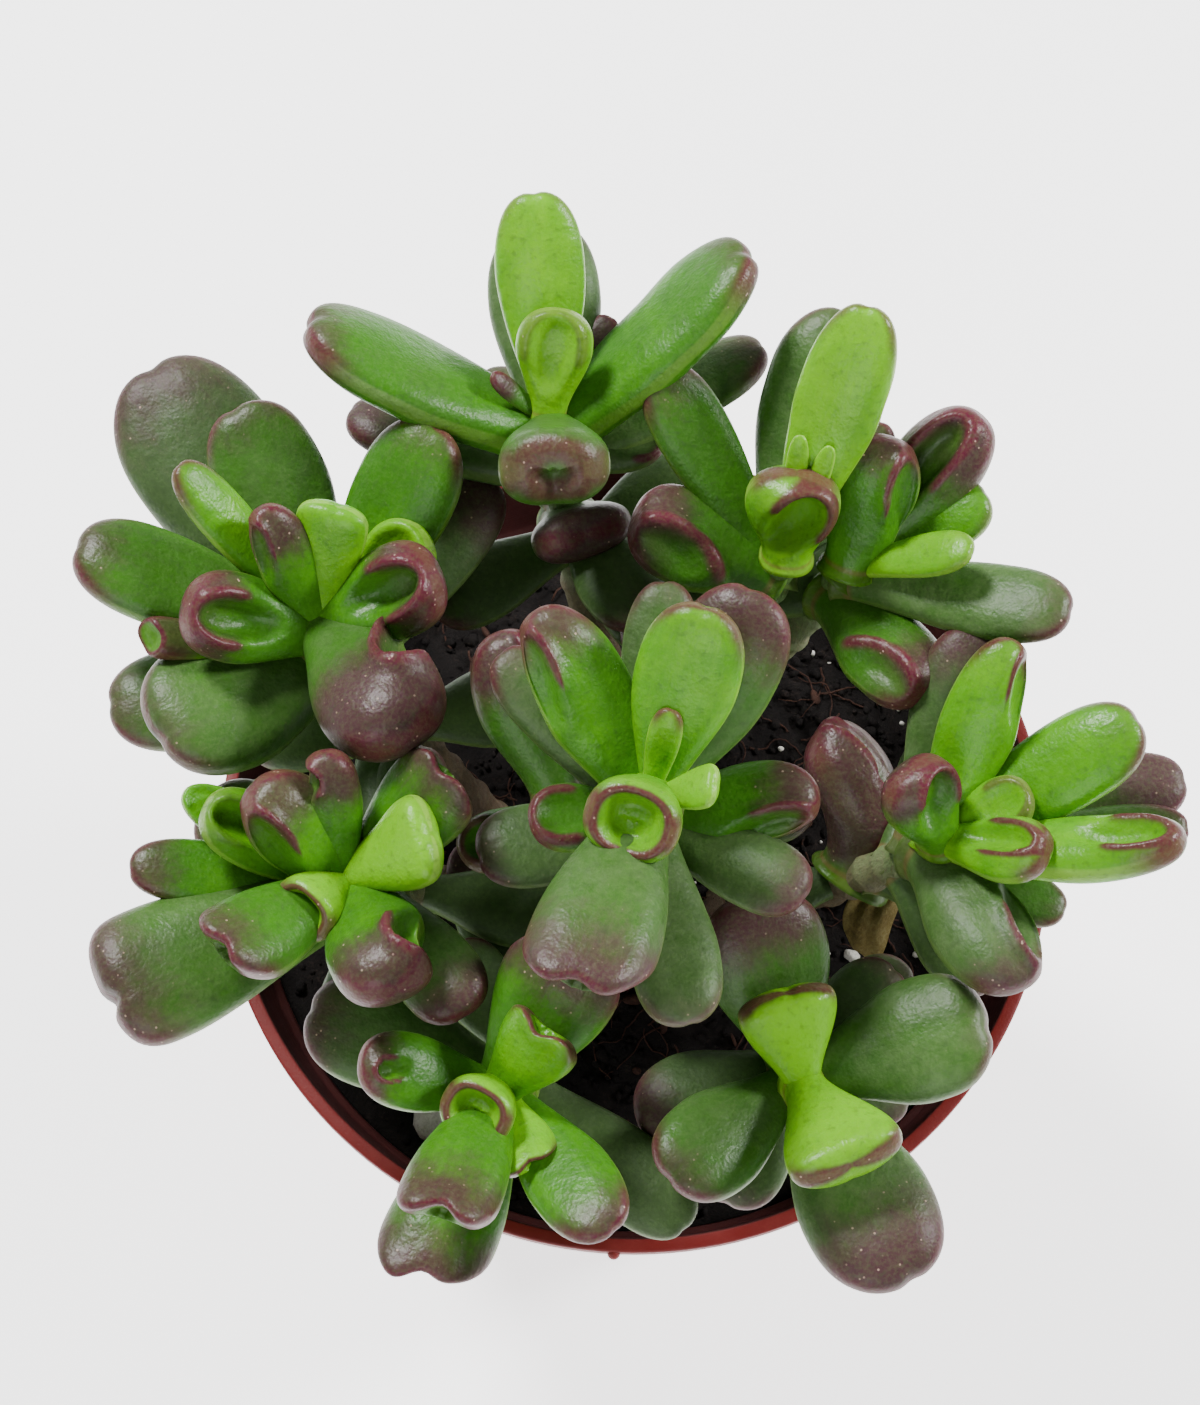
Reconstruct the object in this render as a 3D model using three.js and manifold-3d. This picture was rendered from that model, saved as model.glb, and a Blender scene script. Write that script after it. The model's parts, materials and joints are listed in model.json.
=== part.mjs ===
// A trumpet jade (a curled-leaf form of Crassula ovata) in its small plastic nursery pot.
// Millimetres, +Z up. The origin is the middle of the pot's underside and the pot's axis is Z.
// Every leaf is one closed loft that starts just off the stem it grows from.
import * as THREE from 'three';
import { mergeVertices } from 'three/addons/utils/BufferGeometryUtils.js';
import Module from 'manifold-3d';

// ---- driving dimensions -------------------------------------------------------------------
const RIM_RADIUS = 54;
const POT_HEIGHT = 88;
const BASE_RADIUS = 38;
const WALL = 1.1;
const LIP_WIDTH = 1.8;
const LIP_HEIGHT = 2.2;
const LIP_OVERHANG = 0.7;
const BAND_BOTTOM = 76;
const BAND_INSET = 2.3;
const BAND_STEP = 1.0;
const EDGE_ROUND = 0.35;
const FLOOR_UNDERSIDE = 2.5;
const FLOOR_THICKNESS = 1.6;
const FOOT_RING_WIDTH = 4;
const CENTRE_PAD_RADIUS = 9;
const DRAIN_HOLES = 6;
const DRAIN_RADIUS = 4;
const DRAIN_CIRCLE = 22;
const SOIL_BELOW_RIM = 12;
const SOIL_CROWN = 2.5;
const GAP = 0.3;
const STEM_RADIUS_LOW = 3.2;
const STEM_RADIUS_TOP = 1.9;
const ROOT_DEPTH = 22;
const ROOT_TAPER = 0.7;
const KNEE_OUT = 0.62;
const KNEE_UP = 0.4;
const COLLAR = 0.3;
const COLLAR_RUN = 1.1;
const PLUMPNESS = 0.84;
const SHOULDER = 0.86;
const CLOSING_TURN = 1.54;
const PIT_EDGE = 1.2;
const PIT_SLOPE = 0.75;
const PIT_TAIL = 1.7;
const CREST_WIDTH = 0.34;
const CREST_FADE = 0.9;
const SINK = 0.25;
const MOUTH_START = 0.6;
const MOUTH_FACE = 0.9;
const MOUTH_SLOPE = 0.5;
const LIFT_START = 0.8;
const DENT_WIDTH = 0.3;
const RIPPLE_TURNS = 3.6;
const TIP_THINNING = 0.9;
const FOOT_DOME = 0.2;
const TIP_DOME = 0.05;

const POT_SEGMENTS = 44;
const DRAIN_SIDES = 14;
const LEAF_SIDES = 10;
const LEAF_RINGS = 9;
const TIP_DETAIL = 2;
const OUTLINE_STEPS = 200;
const STEM_SIDES = 8;
const STEM_RINGS = 7;

const SOIL_TOP = POT_HEIGHT - SOIL_BELOW_RIM;
const RAD = Math.PI / 180;

// ---- leaf forms ---------------------------------------------------------------------------
// Every leaf is a plump blade. neck is the foot's width over the full width, peak is where along
// its length it is widest, square is how square its tip is, thick and deep are its thickness over
// its width at the foot and at the tip. A pit is a hollow near the tip with a crest round it: its
// place across and distance from the tip, half width, half length, turn (degrees), depth, height
// of the crest, notch in the margin and how far back the crest reaches. A mouth is a hollow in
// the blunt end: its depth, the slant of the end towards the upper side and towards one side,
// ripple of the lip, dent in it, lift of the upper lip and breadth of the lip. Pit and mouth are
// measured in halves of the leaf's width.
const FORMS = {
  tongue: { neck: 0.5, peak: 0.7, square: 2.5, thick: 0.46, deep: 0.5 },
  oval: { neck: 0.36, peak: 0.66, square: 2.45, thick: 0.42, deep: 0.44 },
  strap: { neck: 0.58, peak: 0.55, square: 2.8, thick: 0.42, deep: 0.46 },
  paddle: { neck: 0.5, peak: 0.8, square: 3.2, thick: 0.42, deep: 0.46 },
  spade: { neck: 0.34, peak: 0.84, square: 2.8, thick: 0.44, deep: 0.42 },
  cup: {
    neck: 0.46, peak: 0.68, square: 2.5, thick: 0.56, deep: 0.62,
    pit: {
      across: 0.05, tip: 0.85, wide: 0.46, long: 0.75, turn: 0,
      depth: 0.65, crest: 0.15, notch: 0, open: -1,
    },
  },
  dimple: {
    neck: 0.44, peak: 0.66, square: 2.4, thick: 0.5, deep: 0.56,
    pit: {
      across: 0.15, tip: 0.62, wide: 0.26, long: 0.32, turn: -20,
      depth: 0.4, crest: 0.1, notch: 0, open: -1.4,
    },
  },
  comma: {
    neck: 0.5, peak: 0.62, square: 2.5, thick: 0.6, deep: 0.68,
    pit: {
      across: 0.84, tip: 1.4, wide: 0.36, long: 0.55, turn: 38,
      depth: 0.6, crest: 0.28, notch: 0.3, open: -1.9,
    },
  },
  ear: {
    neck: 0.48, peak: 0.66, square: 2.5, thick: 0.6, deep: 0.68,
    pit: {
      across: 0.78, tip: 0.85, wide: 0.42, long: 0.5, turn: 24,
      depth: 0.6, crest: 0.2, notch: 0.3, open: -1,
    },
  },
  fold: {
    neck: 0.5, peak: 0.6, square: 2.2, thick: 0.6, deep: 0.66,
    pit: {
      across: 0.74, tip: 0.95, wide: 0.3, long: 0.85, turn: 10,
      depth: 0.55, crest: 0.2, notch: 0.12, open: -1,
    },
  },
  lobe: {
    neck: 0.48, peak: 0.64, square: 2.6, thick: 0.56, deep: 0.64,
    pit: {
      across: 0.72, tip: 0.75, wide: 0.85, long: 0.5, turn: 100,
      depth: 0.32, crest: 0.22, notch: 0.05, open: -0.2,
    },
  },
  scoop: {
    neck: 0.46, peak: 0.66, square: 2.4, thick: 0.56, deep: 0.62,
    pit: {
      across: 0.1, tip: 1.25, wide: 0.42, long: 0.95, turn: 0,
      depth: 0.5, crest: 0.15, notch: 0, open: -1.2,
    },
  },
  trough: {
    neck: 0.5, peak: 0.6, square: 2.4, thick: 0.64, deep: 0.7,
    pit: {
      across: 0.4, tip: 1.3, wide: 0.2, long: 1.2, turn: 8,
      depth: 0.35, crest: 0.2, notch: 0, open: -1.3,
    },
  },
  fist: {
    neck: 0.5, peak: 0.8, square: 2.7, thick: 0.6, deep: 0.74,
    mouth: { depth: 0.05, face: 0, side: 0, ripple: 0.04, dent: -0.26, lift: 0.04, lip: 0.36 },
  },
  blunt: {
    neck: 0.44, peak: 0.8, square: 2.9, thick: 0.52, deep: 0.62,
    mouth: { depth: 0.08, face: -0.85, side: 0.12, ripple: 0.07, dent: 0.26, lift: 0.14, lip: 0.16 },
  },
  ring: {
    neck: 0.5, peak: 0.84, square: 2.8, thick: 0.6, deep: 0.84,
    mouth: { depth: 0.48, face: 0.05, side: 0, ripple: 0.03, dent: -0.12, lift: 0, lip: 0.06 },
  },
};

// ---- the plant ----------------------------------------------------------------------------
// crown is the growing tip: x, y and height above the rim. foot is where the shoot's trunk
// leaves the soil. A leaf row reads: how far down the stem it grows (mm), the way it points
// seen from above (degrees from +X), its rise above level (degrees), its reach from the stem's
// axis to its end (mm), its width (mm), its form, the side its fold lies on (1 left, -1 right),
// its roll about its own length and its upward bend (degrees).
const SHOOTS = {
  back: {
    trunk: 'stem_back',
    crown: [-10.4, 35.3, 50],
    foot: [0, 13],
    leaves: [
      [2, 94, 35, 27.5, 10.5, 'oval', 0, 0, 10],
      [4, 163, 24, 32, 15, 'strap', 0, 35, 8],
      [4, 38, 26, 32, 14, 'strap', 0, -35, 8],
      [4, -87, 54, 20, 12.5, 'fist', 1, 0, 0],
      [7, 94, 12, 29, 13.5, 'oval', 0, 0, 0],
      [10, 31, 8, 29, 9, 'tongue', 0, -20, 0],
    ],
  },
  left_back: {
    trunk: 'stem_left',
    crown: [-36.9, 12.6, 42],
    foot: [-13, -1],
    leaves: [
      [9, 126, 14, 43, 19, 'oval', 0, 0, 5],
      [6, 114, 26, 31, 13.5, 'oval', 0, 0, 5],
      [4, 58, 35, 29, 12.5, 'oval', 0, 0, 5],
      [6, 164, 20, 33, 12, 'tongue', 0, 10, 0],
      [1, 8, 42, 18.5, 11, 'cup', 1, 25, 0],
      [2, -58, 32, 24, 14.5, 'comma', 1, 0, 0],
      [3, 186, 40, 20, 10.5, 'cup', 1, -25, 0],
      [9, -149, 25, 27, 17, 'oval', 0, 0, 0],
      [12, -168, 8, 30, 13, 'oval', 0, 0, 0],
    ],
  },
  left_front: {
    trunk: 'stem_left',
    crown: [-33.3, -18.3, 40],
    foot: [-13, -1],
    leaves: [
      [0, 97, 50, 17.5, 6.8, 'ear', 1, 0, 0],
      [2, 40, 35, 19, 11, 'blunt', 1, 0, 0],
      [2, 143, 50, 18.5, 11, 'fold', 1, 0, 0],
      [5, -151, 15, 32, 16, 'paddle', 0, 0, 0],
      [3, -137, 38, 22.5, 10.5, 'blunt', 1, 0, -15],
      [3, -68, 40, 22, 12, 'ear', 1, 0, 0],
    ],
  },
  front_left: {
    trunk: 'stem_front',
    crown: [-15.9, -41, 33],
    foot: [-6, -14],
    leaves: [
      [3, 58, 30, 18, 14, 'blunt', 1, 0, -20],
      [0, 42, 50, 13, 9.5, 'blunt', 1, 0, 0],
      [2, 176, 35, 18.5, 8.8, 'dimple', 1, 0, 0],
      [3, -109, 40, 24.5, 11, 'blunt', 1, 0, -20],
      [4, -57, 30, 25.5, 10, 'oval', 0, 0, 0],
      [8, -112, 10, 25, 13, 'blunt', 1, 0, -15],
    ],
  },
  front_right: {
    trunk: 'stem_right',
    crown: [19, -39.2, 28],
    foot: [12, -6],
    leaves: [
      [0, 106, 45, 13, 11.5, 'spade', 0, 0, 0],
      [0, -68, 42, 16, 13.5, 'spade', 0, 0, 0],
      [4, -139, 20, 21.5, 12, 'oval', 0, 0, 0],
      [3, 14, 22, 23.5, 14.5, 'oval', 0, 0, 0],
      [5, 107, 34, 23, 15, 'oval', 0, 0, 0],
      [6, -66, 15, 29, 15.5, 'oval', 0, 0, -10],
    ],
  },
  right: {
    trunk: 'stem_right',
    crown: [34.8, -12.8, 38],
    foot: [12, -6],
    leaves: [
      [3, 67, 35, 26.5, 9, 'fold', -1, 0, 0],
      [4, 25, 30, 29, 10.5, 'tongue', 0, 0, 0],
      [2, -9, 30, 30, 9, 'scoop', -1, -30, 15],
      [25, 108, 32, 19, 13, 'trough', 1, 62, -90],
      [5, -62, 20, 22, 12, 'fold', 1, 0, -10],
    ],
  },
  back_right: {
    trunk: 'stem_back',
    crown: [17.4, 19.8, 45],
    foot: [0, 13],
    leaves: [
      [2, 67, 45, 33, 10.3, 'oval', 0, 0, 0],
      [7, 73, 25, 33.5, 14.5, 'oval', 0, 0, 0],
      [5, 125, 30, 28.5, 9, 'tongue', 0, 0, 0],
      [6, 164, 25, 19, 12, 'lobe', 1, 0, 0],
    ],
  },
  far_right: {
    trunk: 'stem_back',
    crown: [25.2, 20.2, 42],
    foot: [0, 13],
    leaves: [
      [1, 68, 50, 17.5, 11, 'fold', -1, 0, 0],
      [4, 42, 35, 26, 10.5, 'scoop', 1, 0, 0],
      [4, -19, 22, 29, 9.5, 'tongue', 0, 0, 0],
      [8, -55, 20, 20, 11, 'lobe', -1, 0, 0],
    ],
  },
  middle: {
    trunk: 'stem_middle',
    crown: [1, -12.8, 54],
    foot: [1, -3],
    leaves: [
      [3, 69, 48, 25.5, 11.5, 'oval', 0, 0, 0],
      [7, 59, 35, 28.5, 13, 'oval', 0, 0, 0],
      [4, 125, 35, 26, 11, 'fold', 1, 0, 0],
      [1, -110, 60, 13, 10.5, 'ring', 1, 0, 0],
      [3, -108, 26, 28, 14, 'blunt', 1, 0, -30],
      [12, 2, 22, 20.5, 10, 'fold', -1, 0, 0],
    ],
  },
  inner_left: {
    trunk: 'stem_left',
    crown: [-9, -7, 38],
    foot: [-13, -1],
    leaves: [
      [2, 113, 32, 21, 11, 'fold', -1, 0, 0],
    ],
  },
};

// ---- closed lofts and solids --------------------------------------------------------------
const wasm = await Module();
wasm.setup();

function loftGeometry(startPole, rings, endPole) {
  // rings of equal point count, closed by a pole at each end, faces pointing out
  const sides = rings[0].length;
  const points = [startPole, ...rings.flat(), endPole];
  const last = points.length - 1;
  const at = (ring, side) => 1 + ring * sides + (side % sides);
  const index = [];
  for (let side = 0; side < sides; side++) {
    index.push(0, at(0, side + 1), at(0, side));
    index.push(last, at(rings.length - 1, side), at(rings.length - 1, side + 1));
    for (let ring = 0; ring + 1 < rings.length; ring++) {
      index.push(at(ring, side), at(ring, side + 1), at(ring + 1, side));
      index.push(at(ring, side + 1), at(ring + 1, side + 1), at(ring + 1, side));
    }
  }
  const geometry = new THREE.BufferGeometry();
  geometry.setAttribute('position', new THREE.Float32BufferAttribute(points.flatMap((p) => p.toArray()), 3));
  geometry.setIndex(index);
  return geometry;
}

function solid(geometry) {
  const bare = geometry.clone();
  bare.deleteAttribute('normal');
  bare.deleteAttribute('uv');
  const merged = mergeVertices(bare);
  return new wasm.Manifold(
    new wasm.Mesh({
      numProp: 3,
      vertProperties: new Float32Array(merged.attributes.position.array),
      triVerts: new Uint32Array(merged.index.array),
    }),
  );
}

function geometryOf(body) {
  const mesh = body.getMesh();
  const geometry = new THREE.BufferGeometry();
  geometry.setAttribute('position', new THREE.BufferAttribute(mesh.vertProperties, 3));
  geometry.setIndex(new THREE.BufferAttribute(mesh.triVerts, 1));
  geometry.computeVertexNormals();
  return geometry;
}

function boxesMeet(a, b) {
  const [boxA, boxB] = [a.boundingBox(), b.boundingBox()];
  return [0, 1, 2].every((k) => boxA.min[k] < boxB.max[k] && boxB.min[k] < boxA.max[k]);
}

function largestPart(body) {
  return body.decompose().reduce((a, b) => (a.volume() > b.volume() ? a : b));
}

// ---- leaves -------------------------------------------------------------------------------
function leafRow([drop, turn, rise, reach, wide, form, side, roll, bend]) {
  return { drop, turn, rise, reach, wide, form: FORMS[form], side, roll, bend };
}

function leafFrame(leaf) {
  // along the leaf, across it, and its upper side
  const level = new THREE.Vector3(Math.cos(leaf.turn * RAD), Math.sin(leaf.turn * RAD), 0);
  const up = new THREE.Vector3(0, 0, 1);
  const along = level.clone().multiplyScalar(Math.cos(leaf.rise * RAD));
  along.addScaledVector(up, Math.sin(leaf.rise * RAD));
  const across = new THREE.Vector3().crossVectors(up, along).normalize();
  across.applyAxisAngle(along, leaf.roll * RAD);
  const above = new THREE.Vector3().crossVectors(along, across);
  return { along, across, above };
}

function spinePoint(leaf, start, share) {
  // a point on the leaf's bent midline, in its own plane: x along, z above, and its slope
  const length = leaf.reach - start;
  const half = (leaf.bend * RAD) / 2;
  const slope = half * (2 * share - 1);
  if (Math.abs(half) < 1e-4) return { x: start + length * share, z: 0, slope: 0 };
  const radius = length / (2 * Math.sin(half));
  return {
    x: start + radius * (Math.sin(slope) + Math.sin(half)),
    z: radius * (Math.cos(half) - Math.cos(slope)),
    slope,
  };
}

function smooth(value) {
  return THREE.MathUtils.smoothstep(value, 0, 1);
}

function leafOutline(form, half, length) {
  // steps from the foot to the tip: share of the length, share of the width, run past the shoulder
  const samples = [];
  for (let i = 0; i < OUTLINE_STEPS; i++) {
    samples.push({ share: (form.peak * i) / OUTLINE_STEPS, narrow: 1 });
  }
  for (let i = 0; i <= OUTLINE_STEPS; i++) {
    const turn = (i / OUTLINE_STEPS) * CLOSING_TURN;
    const share = form.peak + (1 - form.peak) * Math.pow(Math.sin(turn), 2 / form.square);
    samples.push({ share, narrow: Math.pow(Math.cos(turn), 2 / form.square) });
  }
  let run = 0;
  let weighted = 0;
  samples.forEach((sample, i) => {
    const before = samples[Math.max(i - 1, 0)];
    const step = Math.hypot((sample.share - before.share) * length, (sample.narrow - before.narrow) * half);
    run += step;
    weighted += sample.share > form.peak ? step * TIP_DETAIL : step;
    Object.assign(sample, { run, weighted });
  });
  const shoulder = samples.find((sample) => sample.narrow < SHOULDER).run;
  const steps = [];
  for (let i = 0; i <= LEAF_RINGS; i++) {
    const wanted = (weighted * i) / LEAF_RINGS;
    const { share, narrow, run: here } = samples.find((sample) => sample.weighted >= wanted - 1e-6);
    steps.push({ share, narrow, past: here - shoulder });
  }
  return steps;
}

function folded(pit, half, thick, side, ahead, [x, y], top) {
  // a section point moved by the pit near the tip and the crest round it
  const right = x / half - side * pit.across;
  const beyond = ahead / half + pit.tip;
  const turn = side * pit.turn * RAD;
  const over = right * Math.cos(turn) + beyond * Math.sin(turn);
  const along = beyond * Math.cos(turn) - right * Math.sin(turn);
  const long = along < 0 ? pit.long * PIT_TAIL : pit.long;
  const r = Math.hypot(over / pit.wide, along / long);
  const sunk = smooth((PIT_EDGE - r) / PIT_SLOPE);
  const reach = smooth((along / pit.long - pit.open) / CREST_FADE);
  const crest = Math.exp(-(((r - PIT_EDGE) / CREST_WIDTH) ** 2)) * reach * top;
  const lowered = (y + SINK * thick) * pit.depth * sunk * top;
  return [x - side * half * pit.notch * sunk, y + half * pit.crest * crest - lowered, 0];
}

function mouthed(mouth, half, step, [x, y], above) {
  // a section point moved by the hollow in the blunt end, with its push along the leaf
  const near = smooth((step.share - MOUTH_START) / (1 - MOUTH_START));
  const face = smooth((step.share - MOUTH_FACE) / (1 - MOUTH_FACE));
  const hollow = smooth((step.past / half - mouth.lip) / MOUTH_SLOPE) * face;
  const dented = Math.exp(-((x / (DENT_WIDTH * half)) ** 2)) * (mouth.dent > 0 ? above : 1 - above);
  let push = -mouth.face * y - mouth.side * x;
  push += half * mouth.ripple * Math.sin((x / half) * RIPPLE_TURNS);
  push -= half * Math.abs(mouth.dent) * dented;
  const raised = smooth((step.share - LIFT_START) / (1 - LIFT_START)) * above * step.narrow;
  return [x, y + half * mouth.lift * raised, push * near - half * mouth.depth * hollow];
}

function plump(wave) {
  // a sine squared up a little, so that the section is fuller than an ellipse
  return Math.sign(wave) * Math.pow(Math.abs(wave), PLUMPNESS);
}

function leafSection(leaf, step, length, swell) {
  // one closed section: across, above and along
  const { form, side } = leaf;
  const half = leaf.wide / 2;
  const rising = smooth(step.share / form.peak);
  const collar = 1 + COLLAR * Math.exp((-step.share * length) / COLLAR_RUN);
  const a = half * (form.neck + (1 - form.neck) * rising) * step.narrow * collar;
  const b = half * (form.thick + (form.deep - form.thick) * rising) * step.narrow ** TIP_THINNING * collar;
  const ring = [];
  for (let i = 0; i < LEAF_SIDES; i++) {
    const angle = (2 * Math.PI * (i + 0.5)) / LEAF_SIDES;
    const cos = Math.cos(angle);
    const sin = Math.sin(angle);
    let point = [a * plump(cos), b * plump(sin), 0];
    if (form.pit) {
      point = folded(form.pit, half, b, side, (step.share - 1) * length, point, smooth(sin * 3));
    }
    if (form.mouth) point = mouthed(form.mouth, half, step, point, smooth(sin * 1.5 + 0.5));
    ring.push([point[0] + swell * cos, point[1] + swell * sin, point[2]]);
  }
  return ring;
}

function ringCentre(ring) {
  const sum = ring.reduce((total, point) => total.add(point), new THREE.Vector3());
  return sum.divideScalar(ring.length);
}

function leafLoft(leaf, base, swell) {
  const { along, across, above } = leafFrame(leaf);
  const start = STEM_RADIUS_TOP + GAP - swell;
  const length = leaf.reach - start;
  const steps = leafOutline(leaf.form, leaf.wide / 2, length);
  const rings = steps.map((step) => {
    const spine = spinePoint(leaf, start, step.share);
    const cos = Math.cos(spine.slope);
    const sin = Math.sin(spine.slope);
    const facing = along.clone().multiplyScalar(cos).addScaledVector(above, sin);
    const upper = above.clone().multiplyScalar(cos).addScaledVector(along, -sin);
    const middle = base.clone().addScaledVector(along, spine.x).addScaledVector(above, spine.z);
    middle.addScaledVector(facing, swell * step.share);
    return leafSection(leaf, step, length, swell).map(([x, y, push]) =>
      middle.clone().addScaledVector(across, x).addScaledVector(upper, y).addScaledVector(facing, push),
    );
  });
  const foot = ringCentre(rings[0]).addScaledVector(along, -FOOT_DOME);
  const tip = ringCentre(rings[rings.length - 1]).addScaledVector(along, TIP_DOME);
  return loftGeometry(foot, rings, tip);
}

// ---- stems --------------------------------------------------------------------------------
function stemCurve(shoot) {
  const crown = new THREE.Vector3(shoot.crown[0], shoot.crown[1], POT_HEIGHT + shoot.crown[2]);
  const foot = new THREE.Vector3(shoot.foot[0], shoot.foot[1], SOIL_TOP);
  const knee = new THREE.Vector3(
    foot.x + (crown.x - foot.x) * KNEE_OUT,
    foot.y + (crown.y - foot.y) * KNEE_OUT,
    foot.z + (crown.z - foot.z) * KNEE_UP,
  );
  return new THREE.QuadraticBezierCurve3(foot, knee, crown);
}

function stemGeometry(shoot, swell) {
  // a tapering tube from inside the soil, up the curve, to a blunt growing tip
  const curve = stemCurve(shoot);
  const rings = [];
  const ringAt = (centre, tangent, radius) => {
    const side = new THREE.Vector3().crossVectors(tangent, new THREE.Vector3(0, 1, 0)).normalize();
    const other = new THREE.Vector3().crossVectors(tangent, side);
    const ring = [];
    for (let i = 0; i < STEM_SIDES; i++) {
      const angle = (2 * Math.PI * i) / STEM_SIDES;
      const point = centre.clone().addScaledVector(side, Math.cos(angle) * radius);
      ring.push(point.addScaledVector(other, Math.sin(angle) * radius));
    }
    return ring;
  };
  const foot = curve.getPoint(0);
  const root = foot.clone().add(new THREE.Vector3(0, 0, -ROOT_DEPTH));
  rings.push(ringAt(root, new THREE.Vector3(0, 0, 1), STEM_RADIUS_LOW * ROOT_TAPER + swell));
  for (let i = 0; i <= STEM_RINGS; i++) {
    const share = i / STEM_RINGS;
    const radius = STEM_RADIUS_LOW + (STEM_RADIUS_TOP - STEM_RADIUS_LOW) * share;
    rings.push(ringAt(curve.getPointAt(share), curve.getTangentAt(share), radius + swell));
  }
  const tip = curve.getPoint(1).addScaledVector(curve.getTangentAt(1), STEM_RADIUS_TOP * 0.5 + swell);
  return loftGeometry(root.clone().add(new THREE.Vector3(0, 0, -1)), rings, tip);
}

function stemPoint(shoot, drop) {
  const curve = stemCurve(shoot);
  return curve.getPointAt(1 - drop / curve.getLength());
}

// ---- pot and soil -------------------------------------------------------------------------
function lathe(profile, segments) {
  const points = profile.map(([r, z]) => new THREE.Vector2(r, z));
  const geometry = new THREE.LatheGeometry(points, segments);
  return geometry.rotateX(Math.PI / 2);
}

const BAND_LOW_RADIUS = RIM_RADIUS - BAND_INSET;
const WALL_TOP_RADIUS = BAND_LOW_RADIUS - BAND_STEP;

function wallRadius(z) {
  // the outer wall's straight taper, under the rim band
  return BASE_RADIUS + ((WALL_TOP_RADIUS - BASE_RADIUS) * z) / BAND_BOTTOM;
}

function potSolid() {
  const floorTop = FLOOR_UNDERSIDE + FLOOR_THICKNESS;
  const lipUnder = POT_HEIGHT - LIP_HEIGHT;
  const profile = [
    [0, 0],
    [CENTRE_PAD_RADIUS, 0],
    [CENTRE_PAD_RADIUS, FLOOR_UNDERSIDE],
    [BASE_RADIUS - FOOT_RING_WIDTH, FLOOR_UNDERSIDE],
    [BASE_RADIUS - FOOT_RING_WIDTH, 0],
    [BASE_RADIUS, 0],
    [WALL_TOP_RADIUS, BAND_BOTTOM],
    [BAND_LOW_RADIUS, BAND_BOTTOM + BAND_STEP],
    [RIM_RADIUS - LIP_OVERHANG, lipUnder],
    [RIM_RADIUS, lipUnder + EDGE_ROUND],
    [RIM_RADIUS, POT_HEIGHT - EDGE_ROUND],
    [RIM_RADIUS - EDGE_ROUND, POT_HEIGHT],
    [RIM_RADIUS - LIP_WIDTH + EDGE_ROUND, POT_HEIGHT],
    [RIM_RADIUS - LIP_WIDTH, POT_HEIGHT - EDGE_ROUND],
    [BAND_LOW_RADIUS - WALL, BAND_BOTTOM + BAND_STEP],
    [WALL_TOP_RADIUS - WALL, BAND_BOTTOM - BAND_STEP],
    [wallRadius(floorTop) - WALL, floorTop],
    [0, floorTop],
  ];
  let pot = solid(lathe(profile, POT_SEGMENTS));
  for (let i = 0; i < DRAIN_HOLES; i++) {
    const angle = (2 * Math.PI * (i + 0.5)) / DRAIN_HOLES;
    const hole = new THREE.CylinderGeometry(DRAIN_RADIUS, DRAIN_RADIUS, 4 * FLOOR_THICKNESS, DRAIN_SIDES);
    hole.rotateX(Math.PI / 2);
    hole.translate(DRAIN_CIRCLE * Math.cos(angle), DRAIN_CIRCLE * Math.sin(angle), floorTop);
    pot = pot.subtract(solid(hole));
  }
  return pot;
}

function soilSolid() {
  const floorTop = FLOOR_UNDERSIDE + FLOOR_THICKNESS;
  const inside = (z) => wallRadius(z) - WALL - GAP;
  const profile = [
    [0, floorTop + GAP],
    [inside(floorTop + GAP), floorTop + GAP],
    [inside(SOIL_TOP - 1), SOIL_TOP - 1],
    [inside(SOIL_TOP) * 0.9, SOIL_TOP],
    [inside(SOIL_TOP) * 0.5, SOIL_TOP + SOIL_CROWN * 0.6],
    [0, SOIL_TOP + SOIL_CROWN],
  ];
  return solid(lathe(profile, POT_SEGMENTS));
}

// ---- materials ----------------------------------------------------------------------------
const plastic = new THREE.MeshStandardMaterial({ color: 0xa04a40, roughness: 0.5, metalness: 0 });
const peat = new THREE.MeshStandardMaterial({ color: 0x2a211c, roughness: 1, metalness: 0 });
const bark = new THREE.MeshStandardMaterial({ color: 0x7d7a50, roughness: 0.8, metalness: 0 });
const YOUNG = new THREE.Color(0x9fca30);
const OLD = new THREE.Color(0x2f5c2e);
const OLDEST_DROP = 10;

function leafMaterial(leaf) {
  const age = Math.min(leaf.drop / OLDEST_DROP, 1);
  const color = YOUNG.clone().lerp(OLD, age);
  return new THREE.MeshStandardMaterial({ color, roughness: 0.35, metalness: 0 });
}

// ---- assembly -----------------------------------------------------------------------------
const plant = new THREE.Group();

function addNode(name, geometry, material) {
  const mesh = new THREE.Mesh(geometry, material);
  mesh.name = name;
  plant.add(mesh);
}

const stems = {};
let stemSpace = null;
for (const shoot of Object.values(SHOOTS)) {
  const tube = solid(stemGeometry(shoot, 0));
  const space = solid(stemGeometry(shoot, GAP));
  stems[shoot.trunk] = stems[shoot.trunk] ? stems[shoot.trunk].add(tube) : tube;
  stemSpace = stemSpace ? stemSpace.add(space) : space;
}
addNode('pot', geometryOf(potSolid()), plastic);
addNode('soil', geometryOf(largestPart(soilSolid().subtract(stemSpace))), peat);
for (const [name, body] of Object.entries(stems)) {
  addNode(name, geometryOf(body), bark);
}

const leaves = [];
for (const [shootName, shoot] of Object.entries(SHOOTS)) {
  shoot.leaves.forEach((row, i) => {
    const leaf = leafRow(row);
    const foot = stemPoint(shoot, leaf.drop);
    leaves.push({ name: `leaf_${shootName}_${i + 1}`, leaf, foot });
  });
}

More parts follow.
